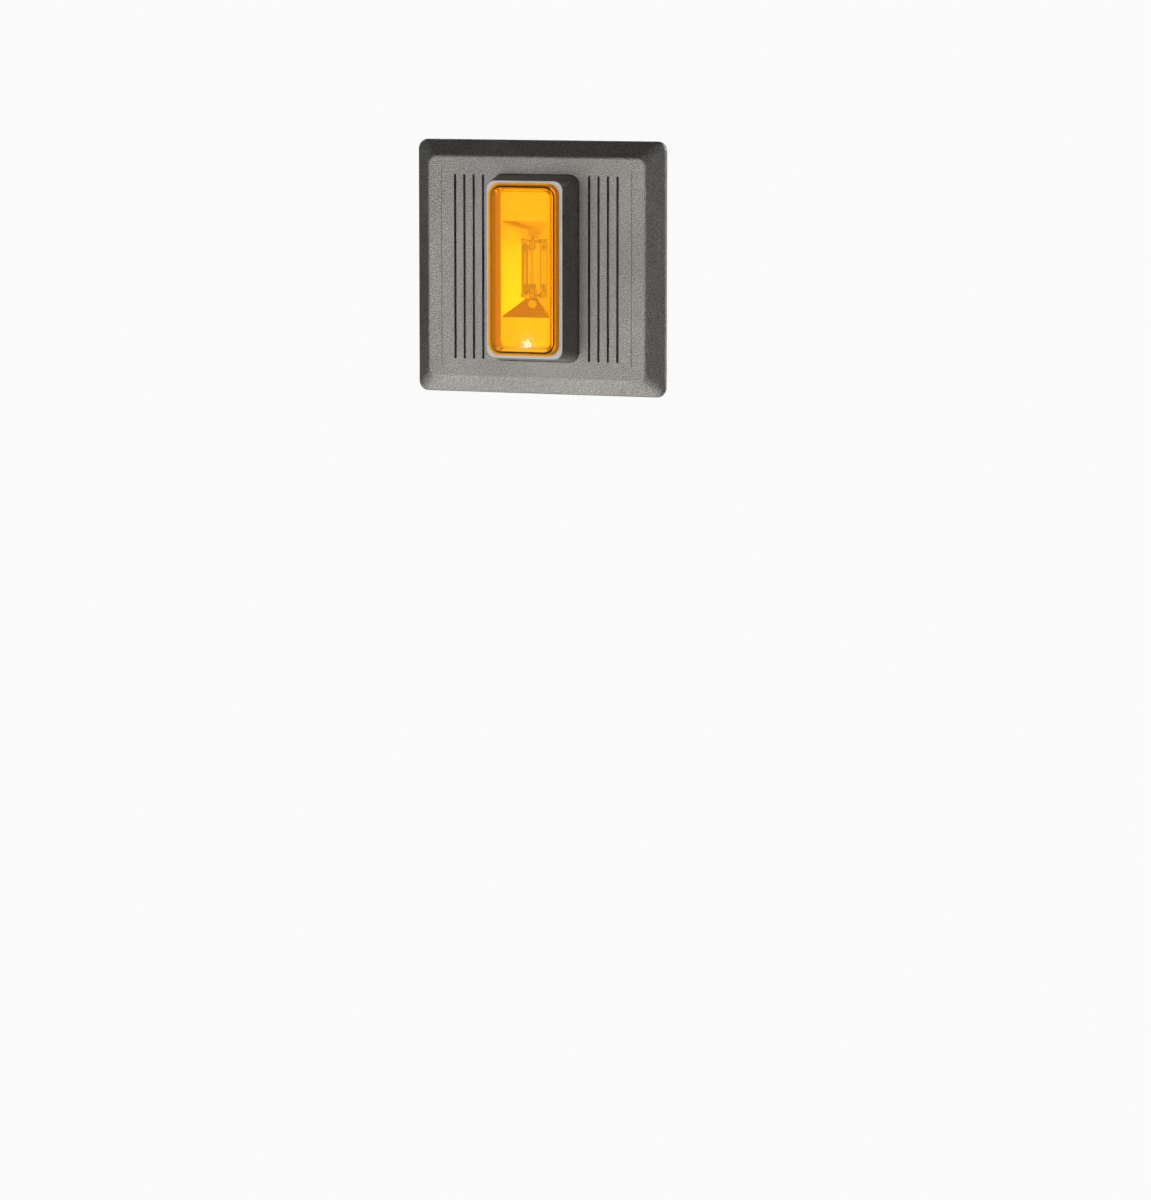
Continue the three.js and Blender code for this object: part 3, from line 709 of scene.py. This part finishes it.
bosses = []
for x, z in corners(STUD_X, STUD_Z):
    stud = round_edges(add_rod("stud", (x, -2.6, z), (x, inner_y - 0.6, z), 1.8, 24), 0.35, 3)
    bosses += [stud, add_rod("foot", (x, inner_y + 0.9, z), (x, inner_y - 0.4, z), 1.8, 24, 2.9)]
for x, z in corners(POST_X, POST_Z):
    post = add_rod("post", (x, -5.1, z), (x, inner_y - 0.6, z), 2.5, 24)
    bosses.append(cut(post, add_rod("bore", (x, 0, z), (x, -8, z), 1.35, 20)))
gather(faceplate, *bosses)
smooth(faceplate, 30)
finish_piece(faceplate, "faceplate_casting", "front", texture_coat, "grey_paint", "faceplate")

# %% [markdown]
# ## Bezel
#
# The bezel is a drafted box with rounded corners that stands out of the window. Its sides carry the same textured
# coat as the plate, and its narrow front rim is a smoother, lighter enamel. It is hollow, and a flange inside the
# plate holds it with screws.

# %% Bezel
bezel_low, bezel_high = box_of("lens_bezel")
rim_y = bezel_low.y
RIM_HALF_X = 20.6
RIM_HALF_Z = 44.3
NECK_HALF_X = 17.1
NECK_HALF_Z = 41.5
BEZEL_WALL = 2.0
NECK_CORNER = 4.6

bezel = add_block("bezel", (-BEZEL_HALF_X, front_y, -BEZEL_HALF_Z), (BEZEL_HALF_X, bezel_high.y, BEZEL_HALF_Z))
draw_in(bezel, front_faces(front_y), rim_y - front_y, RIM_HALF_X / BEZEL_HALF_X, RIM_HALF_Z / BEZEL_HALF_Z)
bevel_picked(bezel, side_edges, 4.6, 9)
bevel_picked(bezel, lambda mid, along: mid.y < rim_y + 0.05, 0.45, 3)
smooth(bezel, 30)

# %% Hollowing the bezel
hollow = add_block(
    "hollow", (-BEZEL_HALF_X + BEZEL_WALL, front_y, -BEZEL_HALF_Z + BEZEL_WALL),
    (BEZEL_HALF_X - BEZEL_WALL, bezel_high.y + 2, BEZEL_HALF_Z - BEZEL_WALL),
)
draw_in(hollow, front_faces(front_y), rim_y + 2.7 - front_y, 0.9, 0.955)
bevel_picked(hollow, side_edges, 3.2, 6)
neck = round_block(
    "neck", (-NECK_HALF_X, rim_y - 2, -NECK_HALF_Z), (NECK_HALF_X, rim_y + 4, NECK_HALF_Z), NECK_CORNER, 8,
)
rebate = round_block("rebate", (-18.3, rim_y - 2, -42.3), (18.3, rim_y + 1, 42.3), 5.5, 8)
cut(bezel, hollow, neck, rebate)
flange = round_block("flange", (bezel_low.x, bezel_high.y - 1.5, bezel_low.z), bezel_high, 3, 6)
flange_hole = round_block(
    "flange hole", (-BEZEL_HALF_X + BEZEL_WALL, -9, -BEZEL_HALF_Z + BEZEL_WALL),
    (BEZEL_HALF_X - BEZEL_WALL, 0, BEZEL_HALF_Z - BEZEL_WALL), 3.4, 6,
)
flange_bores = [add_rod("bore", (x, -6, z), (x, 0, z), 1.5, 20) for x, z in corners(POST_X, POST_Z)]
cut(flange, flange_hole, *flange_bores)
round_edges(flange, 0.2)
gather(bezel, flange)
smooth(bezel, 30)
finish_piece(bezel, "bezel_casting", "front", texture_coat, "rim_paint", "lens_bezel")
second_coat(bezel, rim_enamel, lambda centre, normal: (
    centre.y < rim_y + 0.35 and normal.y < -0.5 or abs(centre.x) < 18.4 and abs(centre.z) < 42.4
))

# %% [markdown]
# ## Lens
#
# The lens is one moulding: a low dome with rounded edges, a flange that laps over the bezel's rim, and a skirt that
# reaches inside. It is hollow behind, so that only two millimetres of amber lie in front of the lamp. A bead of
# black sealer follows the foot of the dome.

# %% Lens
lens_low, lens_high = box_of("lens")
DOME_HALF_X = 16.2
DOME_HALF_Z = 40.7
DOME_CORNER = 4.6
FLANGE_THICK = 1.4
flange_back = rim_y - GAP
flange_face = flange_back - FLANGE_THICK

lens = round_block(
    "lens", (-DOME_HALF_X, lens_low.y, -DOME_HALF_Z), (DOME_HALF_X, flange_face + 0.4, DOME_HALF_Z), DOME_CORNER, 10,
)
bevel_picked(lens, lambda mid, along: mid.y < lens_low.y + 0.05, 1.5, 6)
lens_flange = round_block(
    "flange", (lens_low.x, flange_face, lens_low.z), (lens_high.x, flange_back, lens_high.z), 6, 10,
)
bevel_picked(lens_flange, lambda mid, along: mid.y < flange_face + 0.05, 0.5, 4)
skirt = round_block("skirt", (-16.7, flange_back - 0.4, -41.1), (16.7, lens_high.y, 41.1), 4.2, 8)
fuse(lens, lens_flange, skirt)
lens_hollow = round_block("hollow", (-14.6, lens_low.y + 2, -39.1), (14.6, lens_high.y + 2, 39.1), 3, 8)
bevel_picked(lens_hollow, lambda mid, along: mid.y < lens_low.y + 2.05, 0.8, 4)
cut(lens, lens_hollow)
smooth(lens, 40)
finish_piece(lens, "lens_moulding", "front", amber, "amber_lens", "lens")
lens.visible_shadow = False

# %% Gasket and sealer bead
gasket = round_block("gasket", (-18.0, rim_y + 0.1, -42.0), (18.0, rim_y + 0.7, 42.0), 5.2, 8)
cut(gasket, round_block(
    "opening", (-NECK_HALF_X, rim_y - 2, -NECK_HALF_Z), (NECK_HALF_X, rim_y + 2, NECK_HALF_Z), NECK_CORNER, 8,
))
BEAD = 0.8
bead = round_block(
    "bead", (-DOME_HALF_X - BEAD, flange_face - 0.28, -DOME_HALF_Z - BEAD),
    (DOME_HALF_X + BEAD, flange_face - 0.03, DOME_HALF_Z + BEAD), DOME_CORNER + BEAD, 10,
)
cut(bead, round_block(
    "dome outline", (-DOME_HALF_X - 0.02, -40, -DOME_HALF_Z - 0.02),
    (DOME_HALF_X + 0.02, -20, DOME_HALF_Z + 0.02), DOME_CORNER, 10,
))
round_edges(bead, 0.1)
gather(gasket, bead)
finish_piece(gasket, "lens_seal", "front", rubber, "black_rubber", "lens_gasket")

# %% [markdown]
# ## Reflector
#
# Behind the lens lies a metallised moulding: a flat face with a trough whose four sides slope down to a narrow
# floor, where the flash tube lies. The faces have to be crisp and flat, because each one throws the light its own
# way. A narrowing block is fused on behind, and a slightly smaller one is cut out of it from the front.

# %% Reflector
mirror_low, mirror_high = box_of("reflector")
MOUTH_HALF_X, MOUTH_HALF_Z = 13.0, 23.8
FLOOR_HALF_X, FLOOR_HALF_Z = 2.6, 14.5
TROUGH_DEPTH = 8
SKIN = 1.2

reflector = round_block("reflector", mirror_low, (mirror_high.x, mirror_low.y + SKIN, mirror_high.z), 4, 6)
outer = add_block(
    "trough outside", (-MOUTH_HALF_X - 1.4, mirror_low.y + 0.5 * SKIN, -MOUTH_HALF_Z - 1.4),
    (MOUTH_HALF_X + 1.4, mirror_low.y + SKIN, MOUTH_HALF_Z + 1.4),
)
inner = add_block(
    "trough inside", (-MOUTH_HALF_X - 1.3, mirror_low.y - 1, -MOUTH_HALF_Z - 1.16),
    (MOUTH_HALF_X + 1.3, mirror_low.y - 0.9, MOUTH_HALF_Z + 1.16),
)
for shape, depth, room in ((outer, TROUGH_DEPTH, 1.4), (inner, TROUGH_DEPTH + 0.9, 0.0)):
    half = shape.dimensions / MM / 2
    draw_in(shape, back_faces, depth, (FLOOR_HALF_X + room) / half.x, (FLOOR_HALF_Z + room) / half.z)
fuse(reflector, outer)
pin_holes = [add_rod("pin hole", (0, -15, z), (0, -10.8, z), 0.85, 24) for z in (13.4, -13.4)]
cut(reflector, inner, *pin_holes)
posts = []
for x, z in corners(14.1, 35):
    posts += [
        add_rod("post", (x, -11.1, z), (x, mirror_low.y + SKIN + 0.1, z), 2, 24),
        add_rod("pin", (x, mirror_high.y, z), (x, -11.5, z), 0.9, 16),
    ]
gather(reflector, *posts)
smooth(reflector, 20)
finish_piece(reflector, "reflector_moulding", "base", mirror, "mirror_plate", "reflector")

# %% [markdown]
# ## Turned pieces and screws
#
# Round pieces come off a lathe, so they are drawn the same way: a profile of points is pulled out one by one from a
# single corner and spun round its axis. A profile that comes back to its first point makes a ring. Profiles are in
# millimetres, each point being a radius and a place along the axis.


# %% The lathe and the screws
def turned(name, profile, x=0.0, y=0.0, z=0.0, axis="Y", sides=64):
    """A body spun about an axis along Y through (x, z), or along Z through (x, y)."""
    if axis == "Y":
        points = [Vector((x + radius, along, z)) * MM for radius, along in profile]
        centre, direction = Vector((x, 0, z)) * MM, (0, 1, 0)
    else:
        points = [Vector((x + radius, y, along)) * MM for radius, along in profile]
        centre, direction = Vector((x, y, 0)) * MM, (0, 0, 1)
    bpy.ops.object.select_all(action="DESELECT")
    bpy.ops.mesh.primitive_plane_add(size=MM, location=(0, 0, 0))
    body = bpy.context.object
    body.name = name
    enter(body, "VERT", "SELECT")
    bpy.ops.mesh.merge(type="CENTER")
    bpy.ops.transform.translate(value=points[0])
    for before, after in zip(points, points[1:]):
        bpy.ops.mesh.extrude_vertices_move(TRANSFORM_OT_translate={"value": after - before})
    bpy.ops.mesh.select_all(action="SELECT")
    bpy.ops.mesh.spin(steps=sides, angle=math.tau, center=centre, axis=direction)
    bpy.ops.mesh.select_all(action="SELECT")
    bpy.ops.mesh.remove_doubles(threshold=1e-6)
    bpy.ops.mesh.normals_make_consistent(inside=False)
    leave()
    return smooth(body)


def make_screw(seat, facing, head, thick, shank, length, pitch=0.7, cross=True):
    """A screw on the middle line, in millimetres: its head stands on the plane y = seat and faces -1 or +1 in Y."""
    def at(distance):
        return seat + facing * distance

    profile = [(0, at(-length)), (shank * 0.5, at(-length)), (shank * 0.8, at(-length + 0.6 * shank))]
    for i in range(int((length - 0.6 * shank - 0.5) / pitch)):
        root = -length + 0.6 * shank + i * pitch
        profile += [(shank, at(root + pitch / 2)), (shank * 0.8, at(root + pitch))]
    profile += [(shank, at(-0.2)), (shank, at(0)), (head * 0.97, at(0)), (head, at(thick * 0.12))]
    for radius, height in ((1.0, 0.45), (0.95, 0.66), (0.82, 0.84), (0.6, 0.95), (0.3, 0.99), (0.0, 1.0)):
        profile.append((head * radius, at(thick * height)))
    made = turned("screw", profile, sides=28)
    top, floor_of_slot = at(thick + 1), at(thick * 0.5)
    low, high = min(top, floor_of_slot), max(top, floor_of_slot)
    wide, half = head * 1.2, head * 0.14
    cut(made, add_block("slot", (-wide, low, -half), (wide, high, half)))
    if cross:
        cut(made, add_block("cross", (-half * 0.8, low, -wide * 0.48), (half * 0.8, high, wide * 0.48)))
    return smooth(made)


def set_out(original, nodes, spots, body, finish, slot):
    """Copies a piece from the middle line to each (x, z) in millimetres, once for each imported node."""
    for node, (x, z) in zip(nodes, spots):
        copy = original.copy()
        copy.data = original.data.copy()
        bpy.context.scene.collection.objects.link(copy)
        copy.location = metres((x, 0, z))
        finish_piece(settle(copy), f"{node}_threaded", body, finish, slot, node)
    bpy.data.objects.remove(original)


def numbered(stem, count=4):
    return [f"{stem}_{i + 1}" for i in range(count)]


# %% Setting out the screws
PAN_SCREW = 37
for made, nodes, spots, body in (
    (make_screw(-3.0, 1, 2.3, 1.0, 1.0, 4.4), numbered("bezel_screw"), corners(POST_X, POST_Z), "front"),
    (make_screw(-1.8, -1, 2.7, 1.6, 1.25, 11), numbered("pan_screw"), corners(PAN_SCREW, PAN_SCREW), "base"),
    (make_screw(-1.8, -1, 3.7, 2.2, 1.7, 20, 0.9), ["box_screw_right", "box_screw_left"],
     [(44.45, 0), (-44.45, 0)], "base"),
    (make_screw(-11.1, -1, 2.5, 1.4, 1.2, 6), ["board_screw_top", "board_screw_bottom"], [(0, 33), (0, -33)], "base"),
    (make_screw(-3.3, -1, 2.6, 1.6, 1.3, 3), ["bracket_screw_top", "bracket_screw_bottom"], [(0, 40), (0, -40)],
     "base"),
):
    set_out(made, nodes, spots, body, zinc, "zinc_steel")
set_out(make_screw(36.9, 1, 3.2, 2.2, 1.45, 18, 0.6, cross=False), ["volume_screw"], [(20, 0)], "volume_screw",
        brass, "brass")
terminal_screw = make_screw(44.4, 1, 2.5, 2.0, 1.2, 4.4, cross=False)
washer = turned("washer", [(1.3, 43.7), (2.7, 43.7), (2.7, 44.2), (1.3, 44.2), (1.3, 43.7)], sides=32)
set_out(gather(terminal_screw, washer), numbered("terminal_screw"), [(x, -21) for x in (-12, -4, 4, 12)], "base",
        brass, "brass")

# %% [markdown]
# ## Steel frame and clips
#
# The mounting frame is a stamped plate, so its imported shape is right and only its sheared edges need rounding. Two
# shallow ribs are pressed into it beside the mouth. The four spring clips are bent strips with softened bends, and a
# rubber grommet lines the hole for the leads.

# %% Frame, clips and grommet
plate = tidy_copy("mounting_frame", 0.25)
ribs = []
for side in (1, -1):
    rib = round_block("rib", (side * 51 - 1.5, -1.85, -28), (side * 51 + 1.5, -1.3, 28), 1.45, 5)
    ribs.append(round_edges(rib, 0.3, 3))
gather(plate, *ribs)
finish_piece(plate, "mounting_frame_plate", "base", zinc, "zinc_steel", "mounting_frame")
for clip in numbered("grip_clip"):
    packed_piece(clip, "bent", "base", spring, "spring_steel", 0.1)
grommet = turned(
    "grommet", [(2.3, -2.6), (3.9, -2.6), (3.9, -1.8), (2.9, -1.8), (2.9, 0), (2.3, 0), (2.3, -2.6)], 14, 0, -41,
    sides=40,
)
round_edges(grommet, 0.2, 3)
finish_piece(grommet, "grommet_ring", "base", rubber, "black_rubber", "lead_grommet")

# %% [markdown]
# ## Horn pan
#
# The pan is a black moulding: a turned cup with a stepped mouth, a square flange with four screw bosses, gussets that
# carry the bosses and low ribs round the cup that keep it from ringing. Small pips round the hole of the volume screw
# make its scale.

# %% Pan
pan = turned("horn pan", [
    (0, 33.8), (33, 33.8), (33, 5.6), (36.4, 5.6), (36.4, 0.3), (38.8, 0.3), (38.8, 7.8), (35.2, 9.8), (35.2, 36),
    (27.2, 36), (26.8, 35.6), (25.6, 35.6), (25.2, 36), (0, 36),
], sides=96)
round_edges(pan, 0.25, 3)
pan_flange = round_block("flange", (-41.5, 0.3, -41.5), (41.5, 2.5, 41.5), 4, 6)
cut(
    pan_flange, add_rod("mouth", (0, -2, 0), (0, 6, 0), 37, 96),
    add_block("notch", (10.6, -2, -46), (17.4, 5, -37.4)),
)
round_edges(pan_flange, 0.3)
shapes = [pan_flange]
for x, z in corners(PAN_SCREW, PAN_SCREW):
    boss = add_rod("boss", (x, 0.4, z), (x, 12, z), 4, 32, 3.7)
    round_edges(boss, 0.3)
    shapes.append(cut(boss, add_rod("bore", (x, -1, z), (x, 10, z), 1.6, 20)))
for name, count, low, high in (
    ("rib", 16, (34.6, 9, -0.7), (36.9, 34, 0.7)), ("gusset", 4, (38, 2.2, -0.8), (49, 8, 0.8)),
):
    for step in range(count):
        fin = add_block(name, low, high)
        fin.rotation_euler = (0, math.tau * (step + 0.5) / count, 0)
        shapes.append(round_edges(settle(fin), 0.3))
cut(
    pan, add_rod("volume hole", (20, 30, 0), (20, 40, 0), 1.85, 28),
    add_rod("feed hole", (-8, 30, -18), (-8, 40, -18), 1.3, 24),
)
volume_boss = add_rod("volume boss", (20, 28.5, 0), (20, 34.4, 0), 3.3, 32)
shapes.append(cut(volume_boss, add_rod("bore", (20, 27, 0), (20, 36, 0), 1.85, 28)))
for step in range(9):
    turn = math.radians(-120 + 30 * step)
    x, z = 20 + 6 * math.sin(turn), 6 * math.cos(turn)
    size = 0.65 if step in (0, 8) else 0.4
    shapes.append(add_rod("pip", (x, 35.9, z), (x, 36.2, z), size, 16, size * 0.7))
gather(pan, *shapes)
smooth(pan)
finish_piece(pan, "horn_pan_moulding", "base", black_plastic, "black_plastic", "horn_pan")

# %% [markdown]
# ## Diaphragm and its clamping
#
# The diaphragm is a thin steel disc with one corrugation and a thick middle. A soft gasket and a steel ring with four
# spanner notches press it on its seat.

# %% Diaphragm, gasket and ring
diaphragm = turned("diaphragm", [
    (0, 4.7), (4.8, 4.7), (5.2, 4.9), (21.6, 4.9), (22.6, 4.6), (23.5, 4.2), (24.4, 4.6), (25.4, 4.9), (36, 4.9),
    (36, 5.3), (25.4, 5.3), (24.4, 5.0), (23.5, 4.6), (22.6, 5.0), (21.6, 5.3), (5.2, 5.3), (4.8, 5.9), (0, 5.9),
], sides=96)
finish_piece(diaphragm, "diaphragm_disc", "base", spring, "spring_steel", "diaphragm")
seal = turned("seal", [(33.4, 3.9), (36, 3.9), (36, 4.6), (33.4, 4.6), (33.4, 3.9)], sides=96)
round_edges(seal, 0.15)
finish_piece(seal, "diaphragm_seal", "base", rubber, "black_rubber", "diaphragm_gasket")
clamp = turned("clamp ring", [(33.2, 0.6), (36, 0.6), (36, 3.6), (33.2, 3.6), (33.2, 0.6)], sides=96)
for low, high in (((-37, 0, -1.5), (37, 1.5, 1.5)), ((-1.5, 0, -37), (1.5, 1.5, 37))):
    cut(clamp, add_block("notch", low, high))
round_edges(clamp, 0.25)
finish_piece(clamp, "clamp_ring_notched", "base", zinc, "zinc_steel", "clamp_ring")

# %% [markdown]
# ## Magnet, coil and armature
#
# The bent bracket and the core carry the magnetism, and the coil is wound on a flanged bobbin. The winding's profile
# has one small crest for every turn of wire. The armature is a thick strip, and the spring that holds it is fastened
# with four rivets.

# %% Magnet and coil
COIL_X = -5
packed_piece("magnet_bracket", "bent", "base", zinc, "zinc_steel", 0.45, 3)
core = turned("core", [(0, 13.9), (3.7, 13.9), (4.2, 14.4), (4.2, 31.2), (0, 31.2)], COIL_X)
finish_piece(core, "magnet_core_turned", "base", zinc, "zinc_steel", "magnet_core")
bobbin = turned("bobbin", [
    (4.6, 16.2), (10.5, 16.2), (10.5, 17.2), (5.4, 17.2), (5.4, 30.2), (10.5, 30.2), (10.5, 31.2), (4.6, 31.2),
    (4.6, 16.2),
], COIL_X)
round_edges(bobbin, 0.2)
finish_piece(bobbin, "coil_bobbin_moulding", "base", ivory, "ivory", "coil_bobbin")
WIRE = 0.4
turns = round((29.9 - 17.5) / WIRE)
crests = [(9.72 + 0.28 * (step % 2), 17.5 + step * WIRE / 2) for step in range(2 * turns + 1)]
winding = turned("winding", [(5.7, 17.5), *crests, (5.7, 29.9), (5.7, 17.5)], COIL_X, sides=48)
smooth(winding, 80)
finish_piece(winding, "coil_winding_turns", "base", copper, "copper_wire", "coil_winding")

# %% Armature and contacts
packed_piece("armature", "strip", "armature", zinc, "zinc_steel", 0.4, 3)
pin = turned("pin", [(0, 6.9), (0.8, 6.9), (1.3, 7.15), (1.5, 7.6), (1.5, 10.8), (1.2, 11.1), (0, 11.1)], sides=32)
finish_piece(pin, "striker_pin_turned", "armature", brass, "brass", "striker_pin")
blade = tidy_copy("armature_spring", 0.08)
rivets = [turned("rivet", [(0, 10.3), (0.7, 10.35), (1.1, 10.72), (0, 10.72)], x, 0, z, sides=24)
          for x in (-19.5, -12) for z in (-2.2, 2.2)]
gather(blade, *rivets)
finish_piece(blade, "armature_spring_riveted", "armature", spring, "spring_steel", "armature_spring")
pusher = turned("pusher", [(0, 13.7), (1.0, 13.7), (1.2, 13.9), (1.2, 17.1), (0.9, 17.4), (0, 17.4)], 15.2, sides=28)
finish_piece(pusher, "contact_pusher_turned", "armature", laminate, "phenolic", "contact_pusher")
for node, body in (("upper_contact_leaf", "base"), ("lower_contact_leaf", "contact_leaf")):
    leaf = packed_piece(node, "strip", body, spring, "spring_steel", 0.06)
    second_coat(leaf, zinc, lambda centre, normal: math.hypot(centre.x - 10, centre.z) < 1.7)
stack = packed_piece("contact_block", "stack", "base", laminate, "phenolic", 0.25)
head_profile = [(0, 12.4), (1.0, 12.5), (1.5, 13.0), (0, 13.0)]
heads = [coated(turned("head", head_profile, 27, 0, z, sides=28), zinc) for z in (-3.6, 3.6)]
gather(stack, *heads)

# %% [markdown]
# ## Flash tube
#
# The tube is hollow glass with a wire electrode sealed in each end. Its end caps have the bright coat of the
# reflector and stand on pins that go back to the board.

# %% Tube and caps
TUBE_Y = -17
tube = turned("tube", [(0, -12), (1.6, -12), (2, -11.6), (2, 11.6), (1.6, 12), (0, 12)], 0, TUBE_Y, 0, "Z", 40)
cut(tube, turned("bore", [(0, -10.6), (1.5, -10.2), (1.5, 10.2), (0, 10.6)], 0, TUBE_Y, 0, "Z", 40))
smooth(tube, 40)
finish_piece(tube, "flash_tube_glass", "base", clear_glass, "flash_glass", "flash_tube")
tube.visible_shadow = False
wires = [
    turned("anode", [(0, 11.9), (0.4, 11.9), (0.4, 9.2), (0.5, 8.8), (0, 8.7)], 0, TUBE_Y, 0, "Z", 20),
    turned("cathode", [(0, -11.9), (0.4, -11.9), (0.4, -9.6), (1, -9.6), (1, -7.8), (0, -7.6)], 0, TUBE_Y, 0, "Z", 28),
]
gather(tube, *[coated(wire, zinc) for wire in wires])
for side, where in ((1, "top"), (-1, "bottom")):
    cap = turned("cap", [(0, 12.3 * side), (2.1, 12.3 * side), (2.4, 12.6 * side), (2.4, 14.3 * side),
                         (2.1, 14.7 * side), (0, 14.7 * side)], 0, TUBE_Y, 0, "Z", 40)
    pin_z = 13.4 * side
    gather(cap, round_edges(add_rod("stem", (0, TUBE_Y, pin_z), (0, -8.6, pin_z), 0.5, 20), 0.12, 2))
    finish_piece(cap, f"tube_cap_{where}_plated", "base", mirror, "zinc_steel", f"tube_cap_{where}")

# %% [markdown]
# ## Circuit board and its parts
#
# The board keeps its packed outline. Raised tracks, solder domes and a few small parts on its back make it a real
# board. The capacitor has the rolled groove and the bare end of its can, and the choke shows its copper turns.

# %% Board
board = packed_piece("strobe_board", "varnished", "base", board_green, "board_green", 0.08, 1)
track = Finish("track varnish", (0.06, 0.26, 0.09), 0.3)
track_tone = track.noise(300, 2)
track.color(track.ramp(track_tone, (0.3, (0.045, 0.21, 0.075)), (0.7, (0.075, 0.30, 0.11))))
track.roughness(track.span(track_tone, 0.24, 0.38))
solder = Finish("solder", (0.70, 0.70, 0.72), 0.25, 1.0)
solder_skin = solder.noise(1500, 2)
solder.color(solder.ramp(solder_skin, (0.3, (0.60, 0.60, 0.62)), (0.7, (0.78, 0.78, 0.80))))
solder.roughness(solder.span(solder_skin, 0.18, 0.34))
solder.bump((solder_skin, 0.00001))
extras = []
for x, low_z, high_z in ((-14.5, -22, 30), (-9, 5, 22), (14.8, -20, 28), (7.2, -18, 24), (-6.4, -30, -14)):
    for face_y in (-9.2, -10.8):
        strip = add_block("track", (x - 0.6, face_y - 0.04, low_z), (x + 0.6, face_y + 0.04, high_z))
        extras.append(coated(strip, track))
for x, z in ((-14.5, 30), (-9, 22), (14.8, 28), (7.2, 24), (-6.4, -30), (-14.5, 8), (-9, 8), (0, 15.6), (0, -15.6)):
    for profile in ([(0, -8.75), (0.35, -8.85), (0.95, -9.2), (0, -9.2)], [(0, -11.1), (0.9, -10.8), (0, -10.8)]):
        extras.append(coated(turned("solder", profile, x, 0, z, sides=20), solder))
for z, coat in ((11, ivory), (15, laminate), (19, ivory)):
    resistor = add_rod("resistor", (-14, -7.7, z), (-8.6, -7.7, z), 1.1, 24)
    legs = add_rod("legs", (-15.4, -7.7, z), (-7.2, -7.7, z), 0.25, 12)
    extras += [coated(round_edges(resistor, 0.4, 3), coat), coated(legs, solder)]
switch = round_block("switch", (-14.5, -8.9, 24), (-9.5, -4.6, 27.4), 0.6, 3)
gather(board, *extras, coated(round_edges(switch, 0.25), black_plastic))

# %% Strobe bracket and the parts on the board
packed_piece("strobe_bracket", "strip", "base", zinc, "zinc_steel", 0.2)
can = turned("can", [
    (0, -26), (3.7, -26), (4.3, -25.6), (4.5, -25), (4.5, -22.6), (4.5, -1.8), (4.1, -1.2), (4.1, -0.6), (4.5, 0),
    (4.5, 1.4), (4.2, 1.9), (3.8, 2), (3.6, 1.6), (0, 1.6),
], -11.5, -4.4, 0, "Z", 48)
for turn in (0, 60, 120):
    score = add_block("score", (-3, -0.12, 1.5), (3, 0.12, 2.2))
    score.rotation_euler = (0, 0, math.radians(turn))
    score.location = metres((-11.5, -4.4, 0))
    cut(can, settle(score))
finish_piece(can, "flash_capacitor_can", "base", sleeve, "cap_sleeve", "flash_capacitor")
second_coat(can, solder, lambda centre, normal: (
    centre.z > 1.2 and math.hypot(centre.x + 11.5, centre.y + 4.4) < 3.85
))
coil = turned("coil", [(0, -2.4), (3.4, -2.4), (3.8, -2.6), (4.0, -3.2), (4.2, -3.4), (4.2, -8.9), (0, -8.9)],
              11.5, 0, 14, sides=48)
finish_piece(coil, "trigger_coil_potted", "base", black_plastic, "black_plastic", "trigger_coil")
coils = [(4.35 + 0.2 * (step % 2), -7.2 + step * 0.22) for step in range(17)]
choke = turned("choke", [
    (0, -8.9), (5.1, -8.9), (5.2, -8.7), (5.2, -7.6), (4.9, -7.4), *coils, (4.9, -3.5), (5.2, -3.3), (5.2, -2.1),
    (5.0, -1.9), (2.2, -1.9), (2.0, -2.3), (0, -2.3),
], 11.5, 0, -8, sides=48)
finish_piece(choke, "choke_wound", "base", black_plastic, "black_plastic", "choke")
second_coat(choke, copper, lambda centre, normal: -7.3 < centre.y < -3.6)
connector = tidy_copy("lead_connector", 0.3)
for x in (10.8, 13.6):
    cut(connector, add_rod("entry", (x, -5.8, -31), (x, -5.8, -27), 0.85, 20))
gather(connector, round_edges(add_block("latch", (10.7, -3.4, -28.6), (13.7, -2.6, -25.4)), 0.25))
finish_piece(connector, "lead_connector_housing", "base", ivory, "ivory", "lead_connector")

# %% [markdown]
# ## Terminal block and leads
#
# The block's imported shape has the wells, the entries and the ribs between the poles, so its copy only gets the soft
# edges of a moulding. Each lead is a copy of its packed wire, made round and smooth by subdividing it.

# %% Terminal block
packed_piece("terminal_block", "moulding", "base", black_plastic, "black_plastic", 0.22)

# %% Leads
LEAD_SWELL = 0.05
for node, finish, slot in (
    ("strobe_lead_red", red_insulation, "red_lead"), ("coil_contact_lead", red_insulation, "red_lead"),
    ("strobe_lead_black", black_insulation, "black_lead"), ("coil_feed_lead", black_insulation, "black_lead"),
):
    lead = merged_copy(node)
    enter(lead, "FACE", "SELECT")
    bpy.ops.mesh.tris_convert_to_quads()
    bpy.ops.transform.shrink_fatten(value=LEAD_SWELL * MM)
    leave()
    smooth(apply_modifier(lead, "SUBSURF", levels=2), 60)
    finish_piece(lead, f"{node}_round", "base", finish, slot, node)
